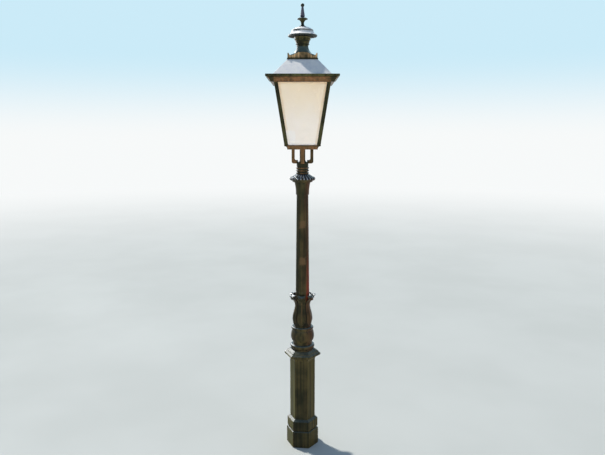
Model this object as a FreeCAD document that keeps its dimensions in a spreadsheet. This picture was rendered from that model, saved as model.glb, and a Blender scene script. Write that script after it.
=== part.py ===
"""Garden lamp: hexagonal pedestal, leaf baluster, fluted shaft, cradle and square lantern.

The lamp stands on the XY plane with its axis on Z and its front towards -Y. Lengths are millimetres.
"""
import FreeCAD, Part
import Sketcher
import os
import re

# Driving dimensions. Heights stack from the ground up; half sizes are measured from the axis to a flat.
SIZES = {
    # Clearances and casting edges that several pieces share
    "fit_clearance": 0.3, "screw_clearance": 0.2, "casting_edge": 2, "cut_overrun": 5,
    # Hexagonal pedestal
    "hex_yaw": -7, "casting_wall": 7, "foot_thickness": 12, "plinth_wall": 10.5,
    "plinth_half": 80.5, "plinth_height": 95, "plinth_bevel": 4, "groove_half": 72.5, "groove_height": 9,
    "band_half": 77.5, "band_height": 50, "ledge_height": 10, "die_half": 63, "die_height": 344,
    "cove_height": 38, "flange_half": 91, "flange_edge": 11, "flange_slope": 9, "flange_step_half": 80,
    "flange_step": 3, "seat_half": 63.5, "seat_slope": 12, "crown_thickness": 20,
    "cable_hole_radius": 32, "anchor_circle": 52, "anchor_hole_radius": 5.5, "anchor_count": 4,
    "anchor_start": 45,
    # Rear service opening and the wiring point behind it
    "opening_width": 42, "opening_height": 150, "opening_level": 210, "door_lap": 8, "door_thickness": 3,
    "door_corner": 5, "door_screw_inset": 4, "cover_screw_radius": 2, "cover_screw_head": 3.8,
    "cover_screw_head_height": 2, "cover_screw_length": 8,
    "board_width": 36, "board_height": 110, "board_thickness": 5, "board_screw_inset": 9,
    "block_width": 30, "block_height": 52, "block_depth": 20,
    "terminal_radius": 3.2, "terminal_pitch": 15, "terminal_depth": 9, "terminal_count": 3,
    # Baluster
    "wire_bore": 20, "spigot_radius": 40, "spigot_depth": 18,
    "seat_radius": 65, "seat_fillet": 5, "ring_root": 60, "low_ring_radius": 69.5, "low_ring_height": 23,
    "low_ring_gap": 4, "neck_radius": 54.5, "neck_height": 15, "knop_radius": 66.8, "knop_rise": 31,
    "knop_fall": 38, "knop_foot": 56, "knop_top": 58.5, "knop_fillet": 3, "top_ring_radius": 63,
    "top_ring_height": 17, "vase_foot": 50, "vase_foot_height": 9, "vase_belly": 54.5, "belly_rise": 38,
    "vase_waist": 41, "waist_rise": 85, "vase_lip": 43.5, "vase_lip_rise": 13,
    # Leaves of the baluster: rises from the root of the vase or its waist, spreads as half angles
    "leaf_count": 6, "leaf_relief": 2.2, "leaf_shoulder_relief": 1.3, "leaf_keel": 3.2, "leaf_thickness": 5,
    "leaf_sink": 7, "leaf_waist_sink": 1.4, "leaf_root_rise": 7, "leaf_root_spread": 5,
    "leaf_low_rise": 27, "leaf_low_spread": 21, "leaf_high_rise": 55, "leaf_spread": 26.5,
    "leaf_flare": 54, "leaf_flare_rise": 25, "leaf_flare_spread": 24,
    "leaf_lobe": 69, "leaf_lobe_rise": 42, "leaf_lobe_spread": 17,
    "leaf_tip": 77, "leaf_tip_rise": 51, "leaf_tip_spread": 8,
    # Shaft
    "shaft_foot_radius": 39.7, "shaft_head_radius": 33, "shaft_height": 618, "shaft_tenon": 30,
    "tenon_depth": 60, "head_spigot": 25, "head_spigot_height": 164,
    "flute_count": 12, "flute_radius": 7, "flute_depth": 2.2, "flute_low_margin": 60,
    "flute_high_margin": 18,
    # Capital
    "capital_foot": 37, "bell_height": 70, "bell_mouth": 44.7, "collar_radius": 56, "collar_height": 8,
    "gadroon_radius": 71, "gadroon_height": 20, "gadroon_bulge": 8.4, "gadroon_root": 60, "capital_top": 38,
    "capital_slope": 14, "gadroon_count": 24, "gadroon_cut": 5, "gadroon_depth": 1.2,
    # Cradle
    "bead_count": 3, "bead_radius": 36.2, "bead_root": 31.5, "bead_height": 10, "bead_pitch": 14.3,
    "hub_radius": 32.5, "hub_height": 26, "hub_bevel": 4, "hub_cap": 16,
    "arm_count": 4, "arm_reach": 60, "arm_depth": 17, "arm_width": 20, "arm_foot": 19, "arm_drop": 9,
    "arm_rise": 79, "arm_outer_bend": 12, "arm_inner_bend": 8, "arm_root": 3,
    "set_screw_count": 3, "set_screw_radius": 3.5, "set_screw_proud": 2, "set_screw_start": 90,
    "cradle_bolt_radius": 4, "cradle_bolt_length": 12, "cradle_bolt_head": 7, "cradle_bolt_head_height": 5,
    "cradle_bolt_gap": 1,
    # Supply tube, lampholder and bulb
    "tube_radius": 15.5, "tube_flare": 22.5, "tube_flare_height": 14, "tube_bore": 5, "tube_tail": 8,
    "tube_tail_length": 10, "tube_thread": 10, "tube_grip": 11, "locknut_flats": 15, "locknut_height": 6,
    "holder_radius": 20, "holder_height": 52, "holder_floor": 16, "holder_wall": 5.5, "holder_edge": 3,
    "bulb_cap_radius": 13.2, "bulb_cap_height": 37, "bulb_neck_radius": 16, "bulb_neck_rise": 8,
    "bulb_radius": 31, "bulb_height": 82, "bulb_flat": 2,
    # Lantern
    "base_foot_half": 82, "base_reveal": 1, "base_cavetto": 18, "base_rim": 5, "base_floor": 6,
    "base_ledge": 18, "base_ledge_height": 4, "base_well_taper": 6,
    "lantern_height": 327, "lantern_low_half": 97, "lantern_high_half": 148,
    "post_width": 20, "post_thickness": 4, "pane_thickness": 4, "pane_clearance": 0.3, "pane_corner_gap": 1,
    "eave_overhang": 18, "eave_flare": 14, "eave_fillet": 3, "eave_cove": 18, "eave_edge": 4, "eave_wall": 5,
    # Canopy
    "canopy_gap": 0.4, "lip_overhang": 11, "lip_undercut": 3.5, "lip_round": 4, "lip_depth": 13,
    "lip_sheet": 4, "lip_web": 3, "lip_edge": 1.5, "lip_flange": 19, "lip_ledge": 39,
    "roof_top_half": 80, "roof_rise": 82, "roof_sheet": 4, "roof_lap": 12, "roof_foot": 3, "roof_edge": 2,
    "flue_radius": 45,
    "gallery_inset": 1, "gallery_wall": 5, "gallery_bead": 3, "gallery_bead_height": 7,
    "gallery_tip": 33, "gallery_tip_width": 6, "gallery_dip": 20, "gallery_dip_reach": 58,
    "gallery_shoulder": 30, "gallery_shoulder_reach": 40, "gallery_crest": 38, "gallery_sides": 4,
    "chimney_flange": 4, "chimney_flange_height": 3, "skirt_radius": 66, "skirt_rise": 31, "skirt_fall": 46,
    "chimney_waist": 31, "chimney_mouth": 44.5, "bowl_height": 46, "chimney_sheet": 3,
    "bowl_ring": 3, "bowl_ring_height": 7, "bowl_ring_rise": 5, "bowl_ring_pitch": 24.5,
    "bridge_width": 14, "bridge_depth": 5, "bridge_drop": 10, "bridge_seat": 2.7,
    "cap_gap": 2, "brim_radius": 78.5, "brim_edge": 8, "tier_radius": 60, "tier_rise": 17,
    "drum_radius": 57.5, "drum_rise": 10, "dome_top_radius": 20, "dome_rise": 15, "cap_sheet": 3,
    "spacer_radius": 8,
    "stud_radius": 4, "stud_tail": 9, "stud_head": 8, "stud_grip": 16, "stud_end_gap": 1,
    "finial_foot": 20, "finial_foot_edge": 3, "finial_neck": 8, "finial_neck_rise": 18, "disc_radius": 27.7,
    "disc_rise": 21, "disc_edge": 7, "disc_rim": 3.5, "disc_bevel": 5, "disc_dish": 2, "spike_root": 9,
    "spike_foot": 12.8, "spike_step": 10, "spike_top": 5.3, "spike_rise": 47,
    "ball_radius": 10, "ball_flat": 1,
    # Hinges of the canopy
    "hinge_offset": 95, "hinge_width": 50, "leaf_plate": 2, "knuckle_radius": 4, "pin_radius": 2,
    "pin_clearance": 0.1, "knuckle_gap": 0.5, "centre_knuckle": 18, "pin_head": 3.2, "pin_head_height": 2,
    "fixed_leaf_depth": 14, "moving_leaf_height": 11, "hinge_screw_radius": 1.6, "hinge_screw_head": 2.6,
    "hinge_screw_head_height": 1.4, "moving_screw_length": 5, "fixed_screw_length": 2.6,
    "hinge_screw_spread": 14, "hinge_screw_inset": 3.4, "leaf_recess_gap": 0.3,
}

# Levels and half sizes that follow from the dimensions above, from the ground to the ball of the finial.
DERIVED = {
    "groove_level": "plinth_height + plinth_bevel",
    "band_level": "groove_level + groove_height",
    "ledge_level": "band_level + band_height",
    "die_level": "ledge_level + ledge_height",
    "cove_level": "die_level + die_height",
    "flange_level": "cove_level + cove_height",
    "step_level": "flange_level + flange_edge + flange_slope",
    "seat_level": "step_level + flange_step + seat_slope",
    "opening_middle": "opening_level + opening_height / 2",
    "low_ring_level": "seat_level + seat_fillet + low_ring_gap",
    "neck_level": "low_ring_level + low_ring_height",
    "knop_level": "neck_level + neck_height",
    "knop_mid": "knop_level + knop_rise",
    "top_ring_level": "knop_mid + knop_fall + knop_fillet",
    "vase_level": "top_ring_level + top_ring_height",
    "vase_root": "vase_level + vase_foot_height",
    "belly_level": "vase_root + belly_rise",
    "waist_level": "belly_level + waist_rise",
    "shaft_level": "waist_level + vase_lip_rise",
    "capital_level": "shaft_level + shaft_height",
    "bell_level": "capital_level + bell_height",
    "gadroon_level": "bell_level + collar_height",
    "gadroon_mid": "gadroon_level + gadroon_bulge",
    "cradle_level": "gadroon_level + gadroon_height + capital_slope",
    "petal_run": "gadroon_radius - capital_top",
    "petal_drop": "cradle_level - gadroon_mid",
    "petal_length": "sqrt(petal_run ^ 2 + petal_drop ^ 2)",
    "hub_level": "cradle_level + bead_count * bead_pitch",
    "hub_top": "hub_level + hub_height",
    "arm_level": "hub_top - arm_drop",
    "bolt_circle": "arm_reach - arm_depth / 2",
    "base_level": "arm_level + arm_rise",
    "base_rim_half": "lantern_low_half + base_reveal",
    "rim_level": "base_level + base_cavetto + base_rim",
    "holder_level": "base_level + base_floor + locknut_height",
    "bulb_level": "holder_level + holder_floor + fit_clearance",
    "eave_level": "rim_level + lantern_height",
    "eave_foot_half": "lantern_high_half + eave_overhang",
    "eave_half": "eave_foot_half + eave_flare",
    "eave_top": "eave_level + eave_fillet + eave_cove + eave_edge",
    "lip_half": "eave_half + lip_overhang",
    "lip_foot_half": "lip_half - lip_undercut",
    "lip_level": "eave_top + canopy_gap",
    "roof_half": "lip_half - lip_ledge",
    "roof_level": "lip_level + lip_depth",
    "gallery_half": "roof_top_half - gallery_inset",
    "gallery_level": "roof_level + roof_rise",
    "skirt_level": "gallery_level + skirt_rise",
    "chimney_waist_level": "skirt_level + skirt_fall",
    "chimney_top": "chimney_waist_level + bowl_height",
    "bridge_top": "chimney_top - bridge_drop",
    "brim_level": "chimney_top + cap_gap",
    "tier_level": "brim_level + brim_edge + tier_rise",
    "drum_level": "tier_level + drum_rise",
    "finial_level": "drum_level + dome_rise",
    "neck_top": "finial_level + finial_neck_rise",
    "disc_level": "neck_top + disc_rise",
    "spike_level": "disc_level + disc_edge + spike_step",
    "ball_level": "spike_level + spike_rise + sqrt(ball_radius ^ 2 - spike_top ^ 2)",
    "ball_top": "ball_level + sqrt(ball_radius ^ 2 - ball_flat ^ 2)",
    "hinge_axis_y": "lip_half + knuckle_gap + knuckle_radius",
    "hinge_axis_z": "eave_top - leaf_plate + knuckle_radius",
    "fixed_leaf_start": "eave_half - fixed_leaf_depth",
    "fixed_screw_line": "eave_half - fixed_leaf_depth / 2",
    "moving_screw_level": "hinge_axis_z + moving_leaf_height - hinge_screw_inset",
}
SCRATCH_CELL = "F1"

# Turns that lay an upright rod along an axis, and the shares that bend an edge into a quarter circle.
TO_REAR = ((1, 0, 0), -90)
TO_FRONT = ((1, 0, 0), 90)
TO_RIGHT = ((0, 1, 0), 90)
LEAVE_ACROSS = (0.707, 0.293)
LEAVE_UPRIGHT = (0.293, 0.707)

DOOR_SCREW_LEVELS = ("opening_level - door_screw_inset", "opening_level + opening_height + door_screw_inset")
BOARD_SCREW_LEVELS = ("opening_middle - board_height / 2 + board_screw_inset",
                      "opening_middle + board_height / 2 - board_screw_inset")
HINGE_PLACES = (("left", "-hinge_offset"), ("right", "hinge_offset"))

doc = FreeCAD.newDocument("garden_lamp")
sheet = doc.addObject("Spreadsheet::Sheet", "Sizes")
for row, (name, value) in enumerate(SIZES.items(), start=1):
    sheet.set(f"A{row}", name)
    sheet.set(f"B{row}", str(value))
    sheet.setAlias(f"B{row}", name)
for row, (name, formula) in enumerate(DERIVED.items(), start=1):
    sheet.set(f"C{row}", name)
    sheet.set(f"D{row}", "=" + formula)
    sheet.setAlias(f"D{row}", name)
doc.recompute()

subparts = []


def spell(formula):
    """Writes a formula of dimension names as an expression on the sheet."""
    def cell(match):
        word = match[0]
        return "Sizes." + word if word in SIZES or word in DERIVED else word
    return re.sub(r"[a-z]\w*", cell, formula)


def measure(formula):
    """Gives the present value of a formula of dimension names."""
    sheet.set(SCRATCH_CELL, "=" + formula)
    sheet.recompute()
    return float(sheet.get(SCRATCH_CELL))


def vector(x, y, z="0"):
    return FreeCAD.Vector(measure(x), measure(y), measure(z))


def bind(item, formulas):
    """Ties properties of an object to formulas of dimension names."""
    for path, formula in formulas.items():
        item.setExpression(path, spell(formula))
    return item


def place(item, x="0", y="0", z="0", axis=(0, 0, 1), angle=0):
    """Sets an object down at a point given by formulas, turned about an axis."""
    item.Placement = FreeCAD.Placement(vector(x, y, z), FreeCAD.Rotation(FreeCAD.Vector(*axis), angle))
    return bind(item, {"Placement.Base.x": x, "Placement.Base.y": y, "Placement.Base.z": z})


def yawed(item, turn="hex_yaw"):
    """Turns a piece about the lamp's axis, by default with the hexagon."""
    spin = FreeCAD.Rotation(FreeCAD.Vector(0, 0, 1), measure(turn))
    item.Placement = FreeCAD.Placement(item.Placement.Base, spin)
    return bind(item, {"Placement.Rotation.Angle": turn})


def turns(count, start="0"):
    """Evenly spaced turns about the lamp's axis, as formulas."""
    return [f"{index} * 360 deg / {count} + {start} * 1 deg" for index in range(int(SIZES[count]))]


def keep(item, label):
    """Names an object as a finished sub-part."""
    item.Label = label
    subparts.append(item)
    return item


def fix_point(sketch, geometry, position, x, y, name):
    """Holds one point of a sketch at coordinates given by formulas."""
    for kind, formula in (("DistanceX", x), ("DistanceY", y)):
        constraint = Sketcher.Constraint(kind, -1, 1, geometry, position, measure(formula))
        index = sketch.addConstraint(constraint)
        title = f"{name}_{kind[-1].lower()}"
        sketch.renameConstraint(index, title)
        sketch.setExpression(f"Constraints.{title}", spell(formula))


def bend_point(start, end, bend):
    """The point that an arc passes, given outright or as shares of the way across and up to its end."""
    if isinstance(bend[0], str):
        return bend
    return tuple(f"({a}) + (({b}) - ({a})) * {share}" for a, b, share in zip(start, end, bend))


def draw(sketch, corners, name="outline"):
    """Draws a closed outline of corners (x, y). A third entry bends the edge that leaves the corner."""
    following = corners[1:] + corners[:1]
    starts = []
    ends = []
    for number, (corner, after) in enumerate(zip(corners, following)):
        start = vector(corner[0], corner[1])
        end = vector(after[0], after[1])
        if len(corner) > 2:
            passing = bend_point(corner, after, corner[2])
            edge = sketch.addGeometry(Part.Arc(start, vector(*passing), end), False)
        else:
            edge = sketch.addGeometry(Part.LineSegment(start, end), False)
        gaps = [sketch.getPoint(edge, position).distanceToPoint(start) for position in (1, 2)]
        near = 1 if gaps[0] < gaps[1] else 2
        starts.append((edge, near))
        ends.append((edge, 3 - near))
        fix_point(sketch, edge, near, corner[0], corner[1], f"{name}{number}")
        if len(corner) > 2:
            mark = sketch.addGeometry(Part.Point(vector(*passing)), True)
            sketch.addConstraint(Sketcher.Constraint("PointOnObject", mark, 1, edge))
            fix_point(sketch, mark, 1, *passing, f"{name}_bend{number}")
    for end, start in zip(ends, starts[1:] + starts[:1]):
        sketch.addConstraint(Sketcher.Constraint("Coincident", *end, *start))
    return sketch


def circle(sketch, x, y, radius):
    """Adds a circle whose centre and radius follow formulas."""
    upright = FreeCAD.Vector(0, 0, 1)
    ring = sketch.addGeometry(Part.Circle(vector(x, y), upright, measure(radius)), False)
    fix_point(sketch, ring, 3, x, y, f"centre{ring}")
    index = sketch.addConstraint(Sketcher.Constraint("Radius", ring, measure(radius)))
    sketch.renameConstraint(index, f"radius{ring}")
    sketch.setExpression(f"Constraints.radius{ring}", spell(radius))
    return sketch


def body_of(label):
    return doc.addObject("PartDesign::Body", label)


def origin_plane(body, role):
    return next(item for item in body.Origin.OriginFeatures if item.Role == role)


def sketch_on(body, role, name, level="0"):
    """Starts a sketch on one of a body's origin planes, lifted along the plane's normal."""
    sketch = body.newObject("Sketcher::SketchObject", name)
    sketch.AttachmentSupport = (origin_plane(body, role), "")
    sketch.MapMode = "FlatFace"
    sketch.AttachmentOffset = FreeCAD.Placement(vector("0", "0", level), FreeCAD.Rotation())
    return bind(sketch, {"AttachmentOffset.Base.z": level})


def turn_profile(body, corners):
    """Revolves a half profile, radius against height, about the lamp's axis."""
    sketch = draw(sketch_on(body, "XZ_Plane", "profile"), corners)
    turned = body.newObject("PartDesign::Revolution", "turned")
    turned.Profile = sketch
    turned.ReferenceAxis = (sketch, ["V_Axis"])
    turned.Angle = 360
    return turned


def round_channel(body, name, corners):
    """Cuts a round channel: an outline turned about the edge from its last corner back to its first."""
    sketch = draw(sketch_on(body, "XZ_Plane", name), corners)
    ends = (corners[0], corners[-1])
    spine = sketch.addGeometry(Part.LineSegment(*(vector(end[0], end[1]) for end in ends)), True)
    for position, end in enumerate(ends, start=1):
        fix_point(sketch, spine, position, end[0], end[1], f"spine{position}")
    channel = body.newObject("PartDesign::Groove", f"{name}_cut")
    channel.Profile = sketch
    channel.ReferenceAxis = (sketch, ["Axis0"])
    channel.Angle = 360
    return channel


def around(body, feature, count):
    """Repeats a feature of a body round the lamp's axis."""
    pattern = body.newObject("PartDesign::PolarPattern", "around")
    pattern.Originals = [feature]
    pattern.Axis = (origin_plane(body, "Z_Axis"), [""])
    pattern.Angle = 360
    bind(pattern, {"Occurrences": count})
    body.Tip = pattern
    return pattern


def extruded(body, kind, sketch, length):
    """Pads or pockets a sketch by a length given as a formula."""
    feature = body.newObject(f"PartDesign::{kind}", sketch.Name + "_" + kind.lower())
    feature.Profile = sketch
    body.Tip = feature
    return bind(feature, {"Length": length})


def lofted(body, sections, ruled=False):
    """Joins sketches at rising levels into one solid."""
    loft = body.newObject("PartDesign::AdditiveLoft", "loft")
    loft.Profile = sections[0]
    loft.Sections = sections[1:]
    loft.Ruled = ruled
    return loft


def turned_part(label, corners):
    body = body_of(label)
    turn_profile(body, corners)
    return keep(body, label)


def mirrored(corners):
    """Completes a right-hand outline with its mirror image; its bends are given as shares."""
    left = []
    for number in reversed(range(len(corners))):
        corner = (f"-({corners[number][0]})", corners[number][1])
        before = corners[number - 1]
        if number > 0 and len(before) > 2:
            corner += (tuple(1 - share for share in before[2]),)
        left.append(corner)
    return corners + left


def mitred(name, sides, corners, reach):
    """Makes a square or hexagonal moulding: one outline extruded across each pair of flats, in common."""
    first = 90 if sides == 6 else 0
    upright = FreeCAD.Rotation(FreeCAD.Vector(1, 0, 0), 90)
    crossed = []
    for index in range(sides // 2):
        sketch = draw(doc.addObject("Sketcher::SketchObject", f"{name}_outline{index}"), mirrored(corners))
        swing = FreeCAD.Rotation(FreeCAD.Vector(0, 0, 1), first + index * 360 / sides)
        sketch.Placement = FreeCAD.Placement(FreeCAD.Vector(), swing.multiply(upright))
        slab = doc.addObject("Part::Extrusion", f"{name}_slab{index}")
        slab.Base = sketch
        slab.DirMode = "Normal"
        slab.Solid = True
        slab.Symmetric = True
        crossed.append(bind(slab, {"LengthFwd": f"4 * ({reach})"}))
    common = doc.addObject("Part::MultiCommon", name)
    common.Shapes = crossed
    return common


def box(name, length, width, height, x, y, z):
    """A block given by its sizes and its lowest corner, all as formulas."""
    block = bind(doc.addObject("Part::Box", name), {"Length": length, "Width": width, "Height": height})
    return place(block, x, y, z)


def rod(name, radius, height, x="0", y="0", z="0", axis=(0, 0, 1), angle=0):
    bar = bind(doc.addObject("Part::Cylinder", name), {"Radius": radius, "Height": height})
    return place(bar, x, y, z, axis, angle)


def join(name, *shapes):
    result = doc.addObject("Part::MultiFuse", name)
    result.Shapes = list(shapes)
    return result


def cut(name, base, *tools):
    """Takes any number of shapes out of a base."""
    result = doc.addObject("Part::Cut", name)
    result.Base = base
    result.Tool = join(name + "_tools", *tools) if len(tools) > 1 else tools[0]
    return result


def group(label, shapes):
    """Gathers identical fasteners as one sub-part of separate solids."""
    result = doc.addObject("Part::Compound", label)
    result.Links = shapes
    return keep(result, label)


def screw(name, head_radius, head_height, radius, length, x, y, z, axis=(0, 0, 1), angle=0):
    """A screw along +Z before it is turned, with the underside of its head at the given point."""
    head = rod(name + "_head", head_radius, head_height)
    shank = rod(name + "_shank", radius, length, z=f"-({length})")
    return place(join(name, head, shank), x, y, z, axis, angle)


def make_pedestal():
    """The hollow hexagonal casting, with its foot plate, coved flange and rear opening."""
    hollow_half = "die_half - casting_wall"
    outside = mitred("pedestal_outside", 6, [
        ("plinth_half", "0"),
        ("plinth_half", "plinth_height"),
        ("plinth_half - plinth_bevel", "groove_level"),
        ("groove_half", "groove_level"),
        ("groove_half", "band_level"),
        ("band_half", "band_level"),
        ("band_half", "ledge_level"),
        ("die_half", "die_level"),
        ("die_half", "cove_level", (0.27, 0.72)),
        ("flange_half - casting_edge", "flange_level"),
        ("flange_half", "flange_level + casting_edge"),
        ("flange_half", "flange_level + flange_edge"),
        ("flange_step_half", "step_level"),
        ("flange_step_half", "step_level + flange_step"),
        ("seat_half", "seat_level"),
    ], "flange_half")
    hollow = mitred("pedestal_hollow", 6, [
        ("plinth_half - plinth_wall", "foot_thickness"),
        ("plinth_half - plinth_wall", "plinth_height - casting_wall"),
        (hollow_half, "band_level"),
        (hollow_half, "seat_level - crown_thickness"),
    ], "flange_half")
    through_foot = "foot_thickness + 2 * cut_overrun"
    through_wall = "casting_wall + 2 * cut_overrun"
    wall_start = f"{hollow_half} - cut_overrun"
    screw_hole = "cover_screw_radius + screw_clearance"
    tools = [
        hollow,
        box("service_opening", "opening_width", through_wall, "opening_height",
            "-opening_width / 2", wall_start, "opening_level"),
        rod("cable_hole", "cable_hole_radius", through_foot, z="-cut_overrun"),
        rod("baluster_socket", "spigot_radius + fit_clearance", "crown_thickness + 2 * cut_overrun",
            z="seat_level - crown_thickness - cut_overrun"),
    ]
    for index, turn in enumerate(turns("anchor_count", "anchor_start")):
        tools.append(rod(f"anchor_hole{index}", "anchor_hole_radius", through_foot,
                         f"anchor_circle * cos({turn})", f"anchor_circle * sin({turn})", "-cut_overrun"))
    for index, level in enumerate(DOOR_SCREW_LEVELS):
        tools.append(rod(f"door_hole{index}", screw_hole, through_wall, "0", wall_start, level, *TO_REAR))
    for index, level in enumerate(BOARD_SCREW_LEVELS):
        tools.append(rod(f"board_hole{index}", screw_hole, "casting_wall - casting_edge",
                         "0", f"-({hollow_half})", level, *TO_FRONT))
    keep(yawed(cut("base_pedestal", outside, *tools)), "base_pedestal")


def cover_screws(label, levels, seat):
    """Two round-headed screws that point to the front, with their heads on a seat."""
    screws = [screw(f"{label}{index}", "cover_screw_head", "cover_screw_head_height", "cover_screw_radius",
                    "cover_screw_length", "0", seat, level, *TO_REAR)
              for index, level in enumerate(levels)]
    yawed(group(label, screws))


def make_service_door():
    """The flat cover on the rear face, and its two screws."""
    body = body_of("service_door")
    half = "opening_width / 2 + door_lap"
    low = "opening_level - door_lap"
    high = "opening_level + opening_height + door_lap"
    sketch = draw(sketch_on(body, "XZ_Plane", "plate", "-die_half"), [
        (f"-({half}) + door_corner", low),
        (f"{half} - door_corner", low, LEAVE_ACROSS),
        (half, f"{low} + door_corner"),
        (half, f"{high} - door_corner", LEAVE_UPRIGHT),
        (f"{half} - door_corner", high),
        (f"-({half}) + door_corner", high, LEAVE_ACROSS),
        (f"-({half})", f"{high} - door_corner"),
        (f"-({half})", f"{low} + door_corner", LEAVE_UPRIGHT),
    ])
    for level in DOOR_SCREW_LEVELS:
        circle(sketch, "0", level, "cover_screw_radius + screw_clearance")
    extruded(body, "Pad", sketch, "door_thickness").Reversed = True
    keep(yawed(body), "service_door")
    cover_screws("service_door_screws", DOOR_SCREW_LEVELS, "die_half + door_thickness")


def make_wiring_point():
    """The insulating board on the front wall inside the pedestal, with its screws and terminal block."""
    wall = "-(die_half - casting_wall)"
    face = f"{wall} + board_thickness"
    blank = box("board_blank", "board_width", "board_thickness", "board_height",
                "-board_width / 2", wall, "opening_middle - board_height / 2")
    holes = [rod(f"board_clear{index}", "cover_screw_radius + screw_clearance",
                 "board_thickness + 2 * cut_overrun", "0", f"{wall} - cut_overrun", level, *TO_REAR)
             for index, level in enumerate(BOARD_SCREW_LEVELS)]
    keep(yawed(cut("terminal_board", blank, *holes)), "terminal_board")
    cover_screws("terminal_board_screws", BOARD_SCREW_LEVELS, face)
    block = box("block_blank", "block_width", "block_depth", "block_height",
                "-block_width / 2", face, "opening_middle - block_height / 2")
    terminals = []
    for index in range(int(SIZES["terminal_count"])):
        level = f"opening_middle + ({index} - (terminal_count - 1) / 2) * terminal_pitch"
        terminals.append(rod(f"terminal{index}", "terminal_radius", "terminal_depth + cut_overrun", "0",
                             f"{face} + block_depth - terminal_depth", level, *TO_REAR))
    keep(yawed(cut("terminal_block", block, *terminals)), "terminal_block")


def leaf_section(body, name, level, spread, outer, inner):
    """One level cut through a leaf: a keeled crescent that faces +X."""
    along = f"cos({spread} * 1 deg)"
    aside = f"sin({spread} * 1 deg)"
    return draw(sketch_on(body, "XY_Plane", name, level), [
        (f"({inner}) * {along}", f"-({inner}) * {aside}"),
        (f"({outer}) * {along}", f"-({outer}) * {aside}"),
        (f"{outer} + leaf_keel", "0"),
        (f"({outer}) * {along}", f"({outer}) * {aside}"),
        (f"({inner}) * {along}", f"({inner}) * {aside}"),
        (inner, "0"),
    ])


def make_baluster():
    """The turned casting between pedestal and shaft, with six keeled leaves that part at the top."""
    body = body_of("baluster")
    socket = "shaft_tenon + fit_clearance"
    socket_floor = "shaft_level - tenon_depth - fit_clearance"
    turn_profile(body, [
        ("wire_bore", "seat_level - spigot_depth"),
        ("spigot_radius", "seat_level - spigot_depth"),
        ("spigot_radius", "seat_level"),
        ("seat_radius", "seat_level"),
        ("seat_radius", "seat_level + seat_fillet"),
        ("ring_root", "seat_level + seat_fillet"),
        ("ring_root", "low_ring_level", ("low_ring_radius", "low_ring_level + low_ring_height / 2")),
        ("ring_root", "neck_level"),
        ("knop_foot", "neck_level", ("neck_radius", "neck_level + neck_height / 2")),
        ("knop_foot", "knop_level", (0.7, 0.42)),
        ("knop_radius", "knop_mid", (0.26, 0.55)),
        ("knop_top", "knop_mid + knop_fall"),
        ("knop_top", "top_ring_level", ("top_ring_radius", "top_ring_level + top_ring_height / 2")),
        ("knop_top", "vase_level"),
        ("vase_foot", "vase_level"),
        ("vase_foot", "vase_root", (0.78, 0.5)),
        ("vase_belly", "belly_level", (0.6, 0.5)),
        ("vase_waist", "waist_level"),
        ("vase_lip", "shaft_level"),
        (socket, "shaft_level"),
        (socket, socket_floor),
        ("wire_bore", socket_floor),
    ])
    belly = "vase_belly - leaf_sink"
    foot = "vase_foot - leaf_sink"
    stations = [
        ("vase_root + leaf_root_rise", "leaf_root_spread", "vase_foot + leaf_relief", foot),
        ("vase_root + leaf_low_rise", "leaf_low_spread", "vase_belly + leaf_relief", belly),
        ("vase_root + leaf_high_rise", "leaf_spread", "vase_belly + leaf_shoulder_relief", belly),
        ("waist_level", "leaf_spread", "vase_waist + leaf_relief", "vase_waist - leaf_waist_sink"),
        ("waist_level + leaf_flare_rise", "leaf_flare_spread", "leaf_flare", "leaf_flare - leaf_thickness"),
        ("waist_level + leaf_lobe_rise", "leaf_lobe_spread", "leaf_lobe", "leaf_lobe - leaf_thickness"),
        ("waist_level + leaf_tip_rise", "leaf_tip_spread", "leaf_tip", "leaf_tip - leaf_thickness"),
    ]
    sections = [leaf_section(body, f"leaf{index}", *station) for index, station in enumerate(stations)]
    around(body, lofted(body, sections), "leaf_count")
    keep(yawed(body, "hex_yaw + 90"), "baluster")


def make_shaft():
    """The tapered tube with stopped flutes, a tenon below and a long spigot above."""
    body = body_of("post_shaft")
    turn_profile(body, [
        ("wire_bore", "shaft_level - tenon_depth"),
        ("shaft_tenon", "shaft_level - tenon_depth"),
        ("shaft_tenon", "shaft_level"),
        ("shaft_foot_radius", "shaft_level"),
        ("shaft_head_radius", "capital_level"),
        ("head_spigot", "capital_level"),
        ("head_spigot", "capital_level + head_spigot_height"),
        ("wire_bore", "capital_level + head_spigot_height"),
    ])
    taper = "(shaft_foot_radius - shaft_head_radius) / shaft_height"
    stand_off = "flute_radius - flute_depth"
    low = "shaft_level + flute_low_margin"
    high = "capital_level - flute_high_margin"
    low_axis = f"shaft_foot_radius - flute_low_margin * {taper} + {stand_off}"
    high_axis = f"shaft_head_radius + flute_high_margin * {taper} + {stand_off}"
    flute = round_channel(body, "flute", [
        (low_axis, low, LEAVE_ACROSS),
        (f"{low_axis} - flute_radius", f"{low} + flute_radius"),
        (f"{high_axis} - flute_radius", f"{high} - flute_radius", LEAVE_UPRIGHT),
        (high_axis, high),
    ])
    around(body, flute, "flute_count")
    keep(body, "post_shaft")


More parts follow.
